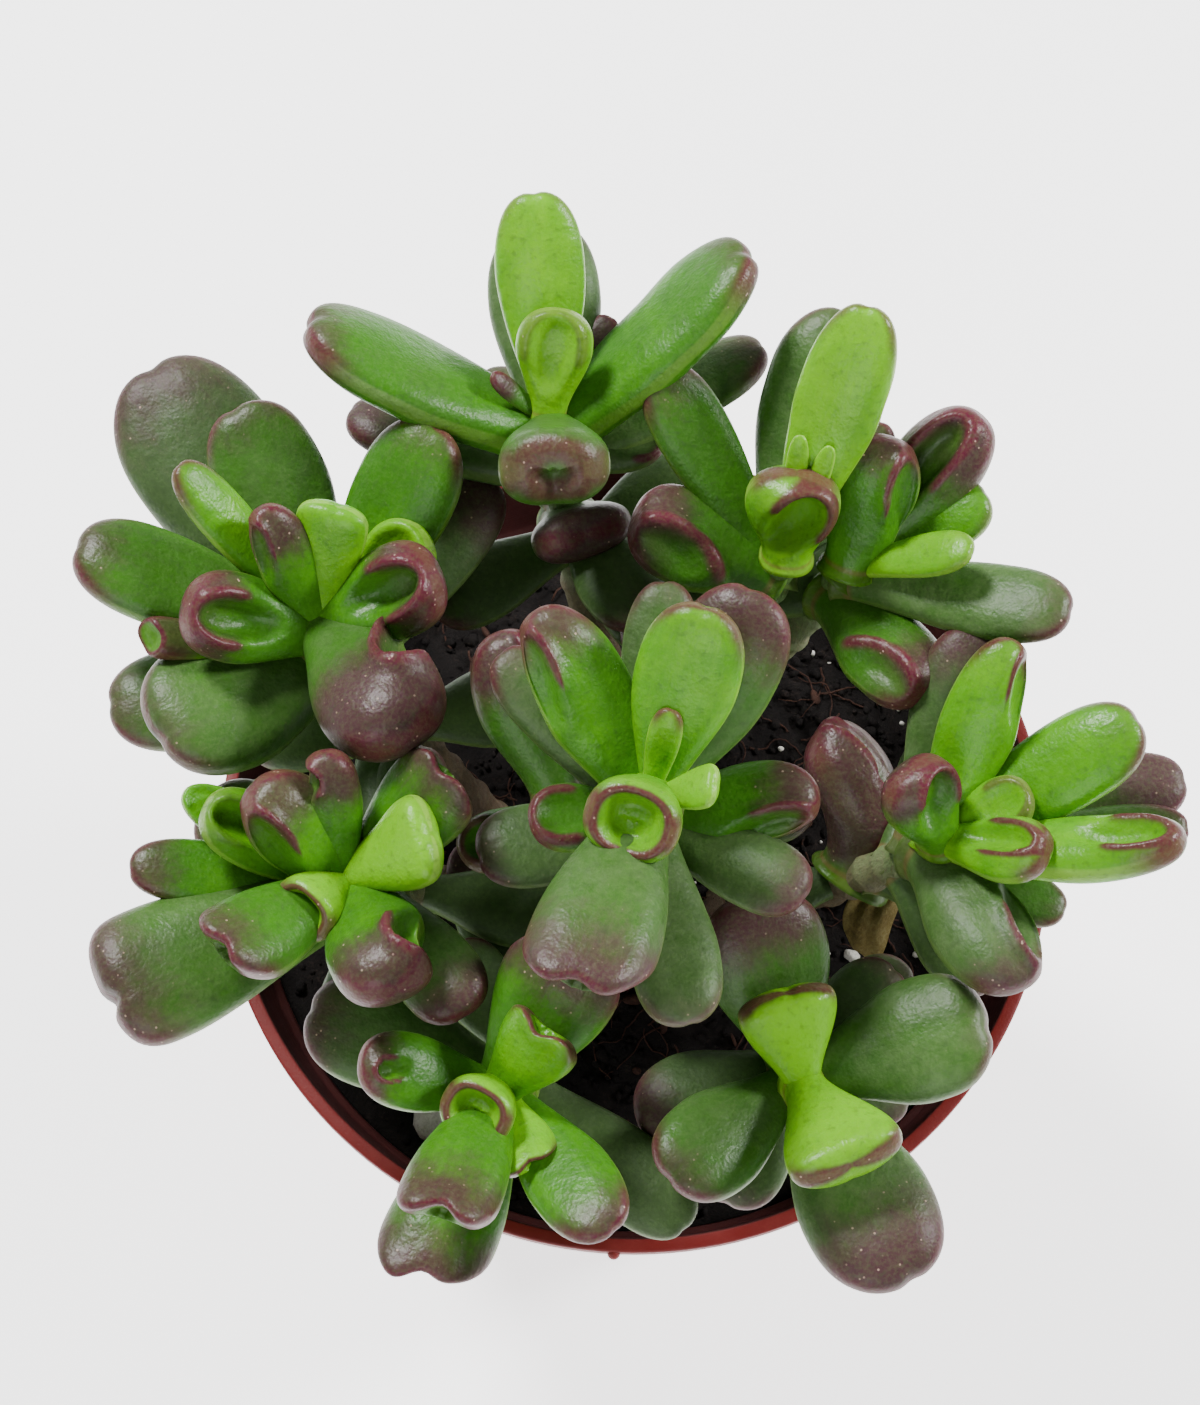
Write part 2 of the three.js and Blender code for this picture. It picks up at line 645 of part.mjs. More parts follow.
// young leaves keep their whole shape, and an older one gives way where it would touch them
leaves.sort((a, b) => a.leaf.drop - b.leaf.drop);
const taken = [];
for (const { name, leaf, foot } of leaves) {
  let body = solid(leafLoft(leaf, foot, 0)).subtract(stemSpace);
  for (const space of taken) {
    if (boxesMeet(space, body)) body = body.subtract(space);
  }
  addNode(name, geometryOf(largestPart(body)), leafMaterial(leaf));
  taken.push(solid(leafLoft(leaf, foot, GAP)));
}

export default plant;
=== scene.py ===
"""Looks of a trumpet jade in its nursery pot: leaves, stems, soil and pot.

Lengths in the tables are in millimetres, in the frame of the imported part: the pot's base centre
is the origin and +Z is up. MM turns them into metres.
"""

import json
import math
from collections import namedtuple

import bmesh
import bpy
import numpy as np
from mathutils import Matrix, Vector


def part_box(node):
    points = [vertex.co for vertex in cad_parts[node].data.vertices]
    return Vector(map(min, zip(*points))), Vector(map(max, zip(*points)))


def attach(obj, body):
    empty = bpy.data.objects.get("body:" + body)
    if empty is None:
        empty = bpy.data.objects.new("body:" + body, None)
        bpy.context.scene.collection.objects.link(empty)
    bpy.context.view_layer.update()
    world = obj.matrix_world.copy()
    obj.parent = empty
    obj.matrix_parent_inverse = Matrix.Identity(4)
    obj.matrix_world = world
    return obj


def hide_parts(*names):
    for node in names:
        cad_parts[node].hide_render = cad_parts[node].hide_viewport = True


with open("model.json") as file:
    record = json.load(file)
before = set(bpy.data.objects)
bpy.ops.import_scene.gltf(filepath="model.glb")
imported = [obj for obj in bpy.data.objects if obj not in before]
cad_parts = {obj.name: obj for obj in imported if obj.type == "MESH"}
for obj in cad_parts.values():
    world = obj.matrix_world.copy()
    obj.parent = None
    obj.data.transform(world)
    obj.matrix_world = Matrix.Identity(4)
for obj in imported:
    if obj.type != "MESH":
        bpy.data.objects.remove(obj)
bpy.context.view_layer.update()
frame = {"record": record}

MM = 0.001
RAD = math.pi / 180

# ---- driving dimensions; the rim, pot height and soil are taken from the frame's pot and soil
_, POT_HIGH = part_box("pot")
SOIL_LOW, SOIL_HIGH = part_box("soil")
RIM_RADIUS = POT_HIGH.x / MM
POT_HEIGHT = POT_HIGH.z / MM
SOIL_RADIUS = SOIL_HIGH.x / MM
SOIL_CROWN = 2.5
SOIL_TOP = SOIL_HIGH.z / MM - SOIL_CROWN
POT_SIDES = 160
BASE_RADIUS = 38
WALL = 1.1
WALL_MIDDLE = 30
CORNER_RADIUS = 0.35
CORNER_STEPS = 3
CORNER_SHARE = 0.45
SHARP_ANGLE = 40
LIP_WIDTH = 1.8
LIP_HEIGHT = 2.2
LIP_OVERHANG = 0.7
BAND_BOTTOM = 76
BAND_STEP = 1.0
BAND_RISE = 1
BAND_INSET = 2.3
BAND_GAP = 0.3
FLOOR_UNDERSIDE = 2.5
FLOOR_THICKNESS = 1.6
FOOT_RING_WIDTH = 4
CENTRE_PAD_RADIUS = 9
DRAIN_HOLES = 6
DRAIN_RADIUS = 4
DRAIN_CIRCLE = 22
CUTTER_HEIGHT = 3
CUTTER_LENGTH = 20
CUTTER_TURN = 2.6
WELD_GAP = 0.002
NUB_TURN = -92.8
NUB_RADIUS = 0.8
NUB_DROP = 1
STEM_RADIUS_LOW = 3.2
STEM_RADIUS_TOP = 1.9

# ---- leaf forms
# Every form is a plump blade: foot width over full width, place where the blade is widest, squareness
# of the tip, thickness over width at the foot and at the tip, and a small notch at the tip.
BLADE = ("neck", "peak", "square", "thick", "deep", "nick")
# A folded form has a pit near the tip with a crest round it: place across and distance from the tip,
# half width, half length and turn of the pit, depth and height of the crest, notch in the margin, and
# how far back the crest reaches. All are over half the leaf's width but the turn, in degrees.
PIT = ("across", "tip", "wide", "long", "turn", "depth", "crest", "notch", "open")
# A mouthed form ends in a blunt face with a hollow: its depth, the slant of the face towards the upper
# side and towards one side, ripple of the lip, dent in the upper lip (or in the lower, below zero), lift
# of the upper lip, breadth of the lip outside the crest and of the crest, all over half the leaf's width.
MOUTH = ("depth", "face", "side", "ripple", "dent", "lift", "lip", "rim")


def form(blade, pit=(), mouth=()):
    return {**dict(zip(BLADE, blade)), "pit": dict(zip(PIT, pit)), "mouth": dict(zip(MOUTH, mouth))}


FORMS = {
    "tongue": form((0.5, 0.7, 2.5, 0.46, 0.5, 0.008)),
    "oval": form((0.36, 0.66, 2.45, 0.42, 0.44, 0.012)),
    "strap": form((0.58, 0.55, 2.8, 0.42, 0.46, 0.02)),
    "paddle": form((0.5, 0.8, 3.2, 0.42, 0.46, 0.03)),
    "spade": form((0.34, 0.84, 2.8, 0.44, 0.42, 0.01)),
    "spoon": form((0.4, 0.66, 2.3, 0.42, 0.46, 0), pit=(0, 0.85, 0.6, 0.75, 0, 0.4, 0.12, 0, -1.2)),
    "cup": form((0.46, 0.68, 2.5, 0.56, 0.62, 0), pit=(0.05, 0.85, 0.46, 0.75, 0, 0.65, 0.15, 0, -1)),
    "dimple": form((0.44, 0.66, 2.4, 0.5, 0.56, 0), pit=(0.15, 0.62, 0.26, 0.32, -20, 0.4, 0.1, 0, -1.4)),
    "comma": form((0.5, 0.62, 2.5, 0.6, 0.68, 0), pit=(0.84, 1.4, 0.36, 0.55, 38, 0.6, 0.28, 0.3, -1.9)),
    "ear": form((0.48, 0.66, 2.5, 0.6, 0.68, 0), pit=(0.78, 0.85, 0.42, 0.5, 24, 0.6, 0.2, 0.3, -1)),
    "fold": form((0.5, 0.6, 2.2, 0.6, 0.66, 0), pit=(0.74, 0.95, 0.3, 0.85, 10, 0.55, 0.2, 0.12, -1)),
    "lobe": form((0.48, 0.64, 2.6, 0.56, 0.64, 0), pit=(0.72, 0.75, 0.85, 0.5, 100, 0.32, 0.22, 0.05, -0.2)),
    "hoop": form((0.46, 0.66, 2.4, 0.56, 0.64, 0), pit=(0.2, 0.8, 0.5, 0.6, -35, 0.6, 0.16, 0, -0.9)),
    "scoop": form((0.46, 0.66, 2.4, 0.56, 0.62, 0), pit=(0.1, 1.25, 0.42, 0.95, 0, 0.5, 0.15, 0, -1.2)),
    "trough": form((0.5, 0.6, 2.4, 0.64, 0.7, 0), pit=(0.4, 1.3, 0.2, 1.2, 8, 0.35, 0.2, 0, -1.3)),
    "fist": form((0.5, 0.8, 2.7, 0.6, 0.74, 0), mouth=(0.05, 0, 0, 0.04, -0.26, 0.04, 0.36, 0.4)),
    "blunt": form((0.44, 0.8, 2.9, 0.52, 0.62, 0), mouth=(0.08, -0.85, 0.12, 0.07, 0.26, 0.14, 0.16, 0.26)),
    "trumpet": form((0.4, 0.88, 3.4, 0.5, 0.7, 0), mouth=(0.4, 0.35, 0.2, 0.08, 0.1, 0.1, 0, 0.3)),
    "ring": form((0.5, 0.84, 2.8, 0.6, 0.84, 0), mouth=(0.48, 0.05, 0, 0.03, -0.12, 0, 0.06, 0.15)),
}

# ---- shoots
# A leaf: drop below the crown along the stem, turn round the vertical, rise above the level, length,
# width, form, age from young to old, blush from green to purple, side of the fold (1 left, -1 right),
# roll about its length and bend along its length.
Leaf = namedtuple("Leaf", "drop turn rise reach wide form age blush side roll bend", defaults=(0, 0, 0))
TRUNK_FEET = {
    "stem_back": (0, 13), "stem_left": (-13, -1), "stem_front": (-6, -14), "stem_right": (12, -6),
    "stem_middle": (1, -3),
}


def shoot(trunk, crown, separate, leaves, low):
    """The first leaves, as many as separate says, are CAD nodes. The low ones stand in the shade."""
    rows = [Leaf(*row) for row in leaves + low]
    return {"trunk": trunk, "crown": crown, "foot": TRUNK_FEET[trunk], "separate": separate, "leaves": rows}


SHOOTS = {
    "back": shoot("stem_back", (-10.4, 35.3, 50), 6, [
        (2, 94, 35, 27.5, 10.5, "oval", 0.08, 0.2, 0, 0, 10),
        (4, 163, 24, 32, 15, "strap", 0.45, 0.4, 0, 35, 8),
        (4, 38, 26, 32, 14, "strap", 0.4, 0.35, 0, -35, 8),
        (4, -87, 54, 20, 12.5, "fist", 0.55, 0.27, 1),
        (7, 94, 12, 29, 13.5, "oval", 0.8, 0.2),
        (10, 31, 8, 29, 9, "tongue", 0.75, 0.45, 0, -20),
        (0, 82, 48, 13.5, 9, "spoon", 0.05, 0.2, 1),
        (12, 163, 5, 27, 9, "tongue", 0.8, 0.7, 0, 20),
        (9, 13, 5, 13, 6, "spoon", 0.8, 0.5, 1),
        (9, 70, 20, 19, 5, "tongue", 0.75, 0.9),
        (1, 157, 45, 10, 2.6, "tongue", 0.55, 0.9),
        (20, -70, 58, 12, 12.5, "tongue", 0.65, 0.75),
    ], [
        (17, -60, 12, 20, 10, "oval", 0.8, 0.4),
        (18, 120, 0, 22, 11, "oval", 0.85, 0.4),
        (23, -150, 5, 20, 10, "tongue", 0.9, 0.4),
        (24, 30, 5, 20, 10, "oval", 0.9, 0.4),
        (30, -40, 8, 17, 9, "oval", 0.95, 0.4),
    ]),
    "left_back": shoot("stem_left", (-36.9, 12.6, 42), 9, [
        (9, 126, 14, 43, 19, "oval", 0.9, 0.5, 0, 0, 5),
        (6, 114, 26, 31, 13.5, "oval", 0.58, 0.35, 0, 0, 5),
        (4, 58, 35, 29, 12.5, "oval", 0.4, 0.35, 0, 0, 5),
        (6, 164, 20, 33, 12, "tongue", 0.5, 0.42, 0, 10),
        (1, 8, 42, 18.5, 11, "cup", 0.35, 0.85, 1, 25),
        (2, -58, 32, 24, 14.5, "comma", 0.6, 0.93, 1),
        (3, 186, 40, 20, 10.5, "cup", 0.4, 0.75, 1, -25),
        (9, -149, 25, 27, 17, "oval", 0.62, 0.3),
        (12, -168, 8, 30, 13, "oval", 0.62, 0.4),
        (11, 55, 10, 28.5, 10, "tongue", 0.85, 0.75),
        (1, 126, 58, 19, 7.5, "fold", 0.35, 0.85, 1),
        (0, 75, 55, 16.5, 8.5, "spade", 0.1, 0),
        (3, 140, 42, 28, 6.5, "tongue", 0.2, 0.35, 0, 15),
        (6, 42, 46, 20, 10, "spoon", 0.06, 0, 1),
        (8, -174, 30, 25.5, 5, "trumpet", 0.26, 0.75, 1),
    ], [
        (18, 100, 0, 24, 12, "oval", 0.85, 0.4),
        (18, -80, 5, 20, 10, "oval", 0.85, 0.3),
        (25, 10, 10, 20, 11, "oval", 0.9, 0.4),
        (26, 180, 0, 20, 11, "oval", 0.9, 0.4),
    ]),
    "left_front": shoot("stem_left", (-33.3, -18.3, 40), 6, [
        (0, 97, 50, 17.5, 6.8, "ear", 0.38, 0.85, 1),
        (2, 40, 35, 19, 11, "blunt", 0.4, 0.6, 1),
        (2, 143, 50, 18.5, 11, "fold", 0.3, 0.8, 1),
        (5, -151, 15, 32, 16, "paddle", 0.62, 0.5),
        (3, -137, 38, 22.5, 10.5, "blunt", 0.45, 0.55, 1, 0, -15),
        (3, -68, 40, 22, 12, "ear", 0.4, 0.75, 1),
        (0, 14, 46, 15.5, 10.5, "spade", 0, 0.1),
        (5, 180, 18, 26.5, 7.5, "tongue", 0.38, 0.5),
        (4, 161, 36, 21, 8.5, "cup", 0.18, 0.15, 1),
        (8, -53, 15, 21, 10, "tongue", 0.65, 0.6),
        (6, 159, 30, 24, 6, "spoon", 0.22, 0, 1),
        (0, -128, 45, 10, 8, "ring", 0, 0.35, 1),
    ], [
        (11, 156, 6, 23, 12, "oval", 0.7, 0.4),
        (15, -100, 0, 22, 11, "oval", 0.85, 0.4),
        (15, 80, 5, 18, 9, "tongue", 0.85, 0.4),
        (22, -10, 0, 20, 10, "oval", 0.9, 0.4),
        (23, 175, -5, 20, 10, "oval", 0.9, 0.4),
    ]),
    "front_left": shoot("stem_front", (-15.9, -41, 33), 6, [
        (3, 58, 30, 18, 14, "blunt", 0.45, 0.75, 1, 0, -20),
        (0, 42, 50, 13, 9.5, "blunt", 0.15, 0.5, 1),
        (2, 176, 35, 18.5, 8.8, "dimple", 0.38, 0.5, 1),
        (3, -109, 40, 24.5, 11, "blunt", 0.36, 0.7, 1, 0, -20),
        (4, -57, 30, 25.5, 10, "oval", 0.38, 0.5),
        (8, -112, 10, 25, 13, "blunt", 0.42, 0.65, 1, 0, -15),
        (9, 163, 10, 25, 13, "oval", 0.75, 0.5),
        (0, -120, 62, 10, 8.5, "ring", 0.02, 0.4, 1),
        (1, -68, 28, 12, 7.5, "blunt", 0.08, 0.4, 1),
    ], [
        (12, -42, 2, 27, 10, "oval", 0.97, 0.1),
        (16, 120, 5, 17, 9, "oval", 0.85, 0.4),
        (23, 175, 0, 16, 9, "oval", 0.9, 0.4),
        (22, 108, 12, 27, 8.5, "oval", 0.82, 0.75),
    ]),
    "front_right": shoot("stem_right", (19, -39.2, 28), 6, [
        (0, 106, 45, 13, 11.5, "spade", 0, 0.5),
        (0, -68, 42, 16, 13.5, "spade", 0.03, 0.6),
        (4, -139, 20, 21.5, 12, "oval", 0.6, 0.4),
        (3, 14, 22, 23.5, 14.5, "oval", 0.68, 0.28),
        (5, 107, 34, 23, 15, "oval", 0.6, 0.78),
        (6, -66, 15, 29, 15.5, "oval", 0.74, 0.75, 0, 0, -10),
        (9, -153, 5, 19.5, 14, "oval", 0.85, 0.65),
        (8, 41, 12, 17, 9, "oval", 0.8, 0.4),
    ], [
        (14, 30, -4, 19, 10, "oval", 0.85, 0.4),
        (14, -110, 0, 20, 11, "oval", 0.9, 0.4),
        (20, -30, 0, 19, 10, "oval", 0.9, 0.4),
    ]),
    "right": shoot("stem_right", (34.8, -12.8, 38), 5, [
        (3, 67, 35, 26.5, 9, "fold", 0.18, 0.4, -1),
        (4, 25, 30, 29, 10.5, "tongue", 0.2, 0.35),
        (2, -9, 30, 30, 9, "scoop", 0.12, 0.6, -1, -30, 15),
        (25, 108, 32, 19, 13, "trough", 0.5, 1.0, 1, 62, -90),
        (5, -62, 20, 22, 12, "fold", 0.76, 0.5, 1, 0, -10),
        (0, 132, 58, 13, 9.5, "hoop", 0.35, 0.85, -1),
        (8, 73, 30, 28, 10.5, "tongue", 0.8, 0.6),
        (8, 2, 14, 32, 7, "tongue", 0.6, 0.4),
        (9, 14, 10, 33.5, 10, "tongue", 0.75, 0.8),
        (1, 20, 40, 13.5, 7, "spoon", 0.1, 0.25, 1),
        (0, -22, 40, 15, 8, "scoop", 0.14, 0.55, 1),
        (8, -25, 10, 19, 6.5, "tongue", 0.6, 0.3),
    ], [
        (14, -50, -8, 19, 10, "oval", 0.85, 0.4),
        (15, 60, 5, 20, 10, "oval", 0.85, 0.4),
        (21, -10, -5, 22, 11, "oval", 0.9, 0.4),
        (27, -170, -5, 15, 9, "oval", 0.9, 0.4),
    ]),
    "back_right": shoot("stem_back", (17.4, 19.8, 45), 4, [
        (2, 67, 45, 33, 10.3, "oval", 0.02, 0.28),
        (7, 73, 25, 33.5, 14.5, "oval", 0.66, 0.3),
        (5, 125, 30, 28.5, 9, "tongue", 0.48, 0.45),
        (6, 164, 25, 19, 12, "lobe", 0.5, 0.75, 1),
        (0, 84, 60, 12, 11, "hoop", 0.1, 0.7, -1),
        (0, 84, 53, 16, 2.6, "tongue", 0, 0),
        (0, 62, 52, 15.5, 2.5, "tongue", 0, 0),
    ], [
        (14, 20, 5, 20, 10, "oval", 0.85, 0.4),
        (15, -160, 10, 17, 9, "oval", 0.85, 0.4),
        (22, 110, 0, 22, 11, "oval", 0.9, 0.4),
    ]),
    "far_right": shoot("stem_back", (25.2, 20.2, 42), 4, [
        (1, 68, 50, 17.5, 11, "fold", 0.42, 0.55, -1),
        (4, 42, 35, 26, 10.5, "scoop", 0.5, 0.85, 1),
        (4, -19, 22, 29, 9.5, "tongue", 0.7, 0.35),
        (8, -55, 20, 20, 11, "lobe", 0.5, 0.7, -1),
        (3, 19, 30, 20, 8, "tongue", 0.25, 0.2),
        (1, -10, 40, 17.5, 5.5, "tongue", 0.08, 0.15),
        (4, 74, 35, 19.5, 6, "tongue", 0.6, 0.4),
    ], [
        (13, 80, 5, 22, 11, "oval", 0.85, 0.4),
    ]),
    "middle": shoot("stem_middle", (1, -12.8, 54), 6, [
        (3, 69, 48, 25.5, 11.5, "oval", 0.17, 0.35),
        (7, 59, 35, 28.5, 13, "oval", 0.6, 0.7),
        (4, 125, 35, 26, 11, "fold", 0.33, 0.6, 1),
        (1, -110, 60, 13, 10.5, "ring", 0.12, 0.75, 1),
        (3, -108, 26, 28, 14, "blunt", 0.62, 0.65, 1, 0, -30),
        (12, 2, 22, 20.5, 10, "fold", 0.42, 0.7, -1),
        (9, -81, 12, 26, 10, "tongue", 0.78, 0.25),
        (11, -31, 15, 21, 9, "tongue", 0.8, 0.5),
        (7, -170, 18, 14, 8, "spoon", 0.45, 0.4, 1),
        (10, 135, 20, 25, 8, "tongue", 0.75, 0.4),
        (0, 72, 52, 12, 3.8, "tongue", 0.02, 0.7),
        (0, -8, 50, 11, 5, "spade", 0, 0.05),
        (14, 85, 22, 28, 9, "oval", 0.75, 0.3),
    ], [
        (18, 10, 10, 20, 10, "oval", 0.85, 0.4),
        (18, 190, 8, 20, 10, "oval", 0.85, 0.4),
        (25, 100, 5, 20, 10, "oval", 0.9, 0.4),
        (25, -80, 5, 20, 10, "oval", 0.9, 0.4),
    ]),
    "inner_left": shoot("stem_left", (-9, -7, 38), 1, [
        (2, 113, 32, 21, 11, "fold", 0.55, 0.9, -1),
        (8, -146, 20, 14, 7.5, "spoon", 0.42, 0.3, 1),
    ], [
        (9, 40, 15, 16, 8, "oval", 0.8, 0.4),
        (15, -60, 10, 16, 9, "oval", 0.85, 0.4),
    ]),
}
YOUNG_AGE = 0.3
BLUSHED = 0.5


# ---- numbers
def smooth(x):
    x = np.clip(x, 0, 1)
    return x * x * (3 - 2 * x)


RIPPLE_WAVES = 5


def ripple(rng, points, length):
    """A smooth random field over points, about -1 to 1, that changes over the given length."""
    total = np.zeros(len(points))
    for _ in range(RIPPLE_WAVES):
        direction = rng.normal(size=3)
        direction /= np.linalg.norm(direction)
        wave = points @ direction * (2 * math.pi / (length * rng.uniform(0.7, 1.5)))
        total += np.sin(wave + rng.uniform(0, 2 * math.pi))
    return total / RIPPLE_WAVES


# ---- meshes
def mesh_object(name, points, faces):
    mesh = bpy.data.meshes.new(name)
    mesh.from_pydata([tuple(p) for p in points * MM], [], faces)
    mesh.update()
    made = bmesh.new()
    made.from_mesh(mesh)
    bmesh.ops.recalc_face_normals(made, faces=made.faces)
    if made.calc_volume(signed=True) < 0:
        bmesh.ops.reverse_faces(made, faces=made.faces)
    made.to_mesh(mesh)
    made.free()
    return linked(name, mesh)


def linked(name, mesh):
    mesh.shade_smooth()
    thing = bpy.data.objects.new(name, mesh)
    bpy.context.scene.collection.objects.link(thing)
    return thing


def joined(parts):
    """The points and faces of several parts as one."""
    points, faces, total = [], [], 0
    for more, more_faces in parts:
        points.append(more)
        faces += [tuple(total + i for i in face) for face in more_faces]
        total += len(more)
    return np.concatenate(points), faces


def turned_faces(segments, rings, closed):
    """Faces round an axis: a fan, the bands between the rings and, if closed, a fan at the end."""
    faces = []
    for j in range(segments):
        k = (j + 1) % segments
        faces.append((0, 1 + j, 1 + k))
        for ring in range(rings - 1):
            a, b = 1 + ring * segments, 1 + (ring + 1) * segments
            faces.append((a + j, b + j, b + k, a + k))
        if closed:
            a = 1 + (rings - 1) * segments
            faces.append((a + k, a + j, a + segments))
    return faces


def circle(count):
    return np.arange(count) * 2 * math.pi / count


def hoop(radius, z, count):
    return [(radius * math.cos(t), radius * math.sin(t), z) for t in circle(count)]


def lathe(profile, segments, closed=True):
    """A body turned about the Z axis. The profile starts on the axis, and ends there if closed."""
    rings = profile[1:-1] if closed else profile[1:]
    points = [(0, 0, profile[0][1])]
    for r, z in rings:
        points += hoop(r, z, segments)
    if closed:
        points.append((0, 0, profile[-1][1]))
    return np.array(points, float), turned_faces(segments, len(rings), closed)


def modify(thing, kind, **settings):
    """Adds a modifier and applies it."""
    made = thing.modifiers.new(kind, kind)
    for key, value in settings.items():
        setattr(made, key, value)
    bpy.context.view_layer.objects.active = thing
    bpy.ops.object.modifier_apply(modifier=made.name)


def combine(thing, operation):
    """Joins or cuts a thing with the primitive that was just added, and removes that."""
    tool = bpy.context.object
    modify(thing, "BOOLEAN", operation=operation, object=tool, solver="EXACT")
    bpy.data.objects.remove(tool)


def keep_vectors(thing, name, values):
    data = thing.data.attributes.new(name, "FLOAT_VECTOR", "POINT")
    data.data.foreach_set("vector", values.astype(np.float32).ravel())


def finish_piece(thing, material, nodes=()):
    thing.data.materials.append(material)
    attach(thing, "root")
    for node in nodes:
        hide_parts(node)


# ---- stems
CURVE_STEPS = 401
FOOT_STEPS = 200


def stem_points(shoot, count):
    """Evenly spaced points up a stem, and its length."""
    top = np.array(shoot["crown"], float)
    top[2] += POT_HEIGHT
    foot = np.array([shoot["foot"][0], shoot["foot"][1], SOIL_TOP])
    knee = foot + (top - foot) * (0.62, 0.62, 0.4)
    t = np.linspace(0, 1, CURVE_STEPS)[:, None]
    curve = (1 - t) ** 2 * foot + 2 * t * (1 - t) * knee + t * t * top
    run = np.concatenate([[0], np.cumsum(np.linalg.norm(np.diff(curve, axis=0), axis=1))])
    even = np.linspace(0, run[-1], count)
    return np.stack([np.interp(even, run, curve[:, k]) for k in range(3)], 1), run[-1]


def point_below_crown(shoot, drop):
    points, length = stem_points(shoot, FOOT_STEPS + 1)
    place = max(0.0, 1 - drop / length) * FOOT_STEPS
    low = int(min(FOOT_STEPS - 1, math.floor(place)))
    return points[low] + (points[low + 1] - points[low]) * (place - low)


# ---- leaves
def leaf_frame(turn, rise, roll):
    level = np.array([math.cos(turn * RAD), math.sin(turn * RAD), 0])
    up = np.array([0.0, 0.0, 1.0])
    along = level * math.cos(rise * RAD) + up * math.sin(rise * RAD)
    across = np.cross(up, along)
    across /= np.linalg.norm(across)
    above = np.cross(along, across)
    c, s = math.cos(roll * RAD), math.sin(roll * RAD)
    across = across * c + above * s
    return along, across, np.cross(along, across)


def spine(reach, bend, share):
    """The bent middle line of a leaf: place along, place above, and slope."""
    half = bend * RAD / 2
    slope = half * (2 * share - 1)
    if abs(half) < 1e-4:
        return reach * share, np.zeros_like(share), slope
    radius = reach / (2 * math.sin(half))
    return radius * (np.sin(slope) + math.sin(half)), radius * (math.cos(half) - np.cos(slope)), slope


COLLAR = 0.3
COLLAR_RUN = 1.1
SECTION_SQUARE = 0.84
SHOULDER = 0.86
SINK = 0.25


def rounded_power(wave):
    """Squares a sine a little, so that the leaf's section is plump."""
    return np.sign(wave) * np.abs(wave) ** SECTION_SQUARE


def outline(form, half, reach, count):
    """Even steps down the leaf's outline: place along, width share, and run past the shoulder."""
    turn = np.linspace(0, 0.985, 500) * math.pi / 2
    body = np.linspace(0, 1, 200)[:-1] * form["peak"]
    power = 2 / form["square"]
    s = np.concatenate([body, form["peak"] + (1 - form["peak"]) * np.sin(turn) ** power])
    narrow = np.concatenate([np.ones(len(body)), np.cos(turn) ** power])
    run = np.concatenate([[0], np.cumsum(np.hypot(np.diff(s) * reach, np.diff(narrow) * half))])
    even = np.linspace(0, run[-1], count)
    shoulder = np.interp(1 - SHOULDER, 1 - narrow[len(body):], run[len(body):])
    return np.interp(even, run, s)[:, None], np.interp(even, run, narrow)[:, None], (even - shoulder)[:, None]


def folded(shape, half, thick, ahead, x, y, lift, side):
    """A pit near the tip with a crest round it. thick is the half thickness there."""
    right = x / half - side * shape["across"]
    ahead = ahead / half + shape["tip"] + 0 * x
    c, n = math.cos(side * shape["turn"] * RAD), math.sin(side * shape["turn"] * RAD)
    over, along = right * c + ahead * n, ahead * c - right * n
    length = np.where(along < 0, 1.7, 1.0) * shape["long"]
    r = np.sqrt((over / shape["wide"]) ** 2 + (along / length) ** 2)
    top = smooth(lift * 3)
    sunk = smooth((1.2 - r) / 0.75)
    crest = np.exp(-((r - 1.25) / 0.34) ** 2) * smooth((along / shape["long"] - shape["open"]) / 0.9) * top
    x = x - side * half * shape["notch"] * sunk
    y = y + half * shape["crest"] * crest - (y + SINK * thick) * shape["depth"] * sunk * top
    return x, y, sunk * top, crest


def mouthed(shape, half, s, narrow, past, x, y, lift, phase):
    """A hollow in the blunt end of a leaf: push along the leaf, lift, hollow and lip."""
    near = smooth((s - 0.6) / 0.4)
    top = smooth(lift * 1.5 + 0.5)
    inside = past / half - shape["lip"]
    hollow = smooth(inside / 0.5) * smooth((s - 0.9) / 0.1)
    lip = np.exp(-((inside - 0.04) / shape["rim"]) ** 2) + 0 * x
    push = -shape["face"] * y * near - shape["side"] * x * near
    push = push + half * shape["ripple"] * np.sin(x / half * 3.6 + phase) * near
    dent = np.exp(-(x / (0.3 * half)) ** 2) * np.where(shape["dent"] > 0, top, 1 - top)
    push = push - half * abs(shape["dent"]) * dent * near
    push = push - half * shape["depth"] * hollow
    y = y + half * shape["lift"] * smooth((s - 0.8) / 0.2) * top * narrow
    return push, y, hollow + 0 * x, lip


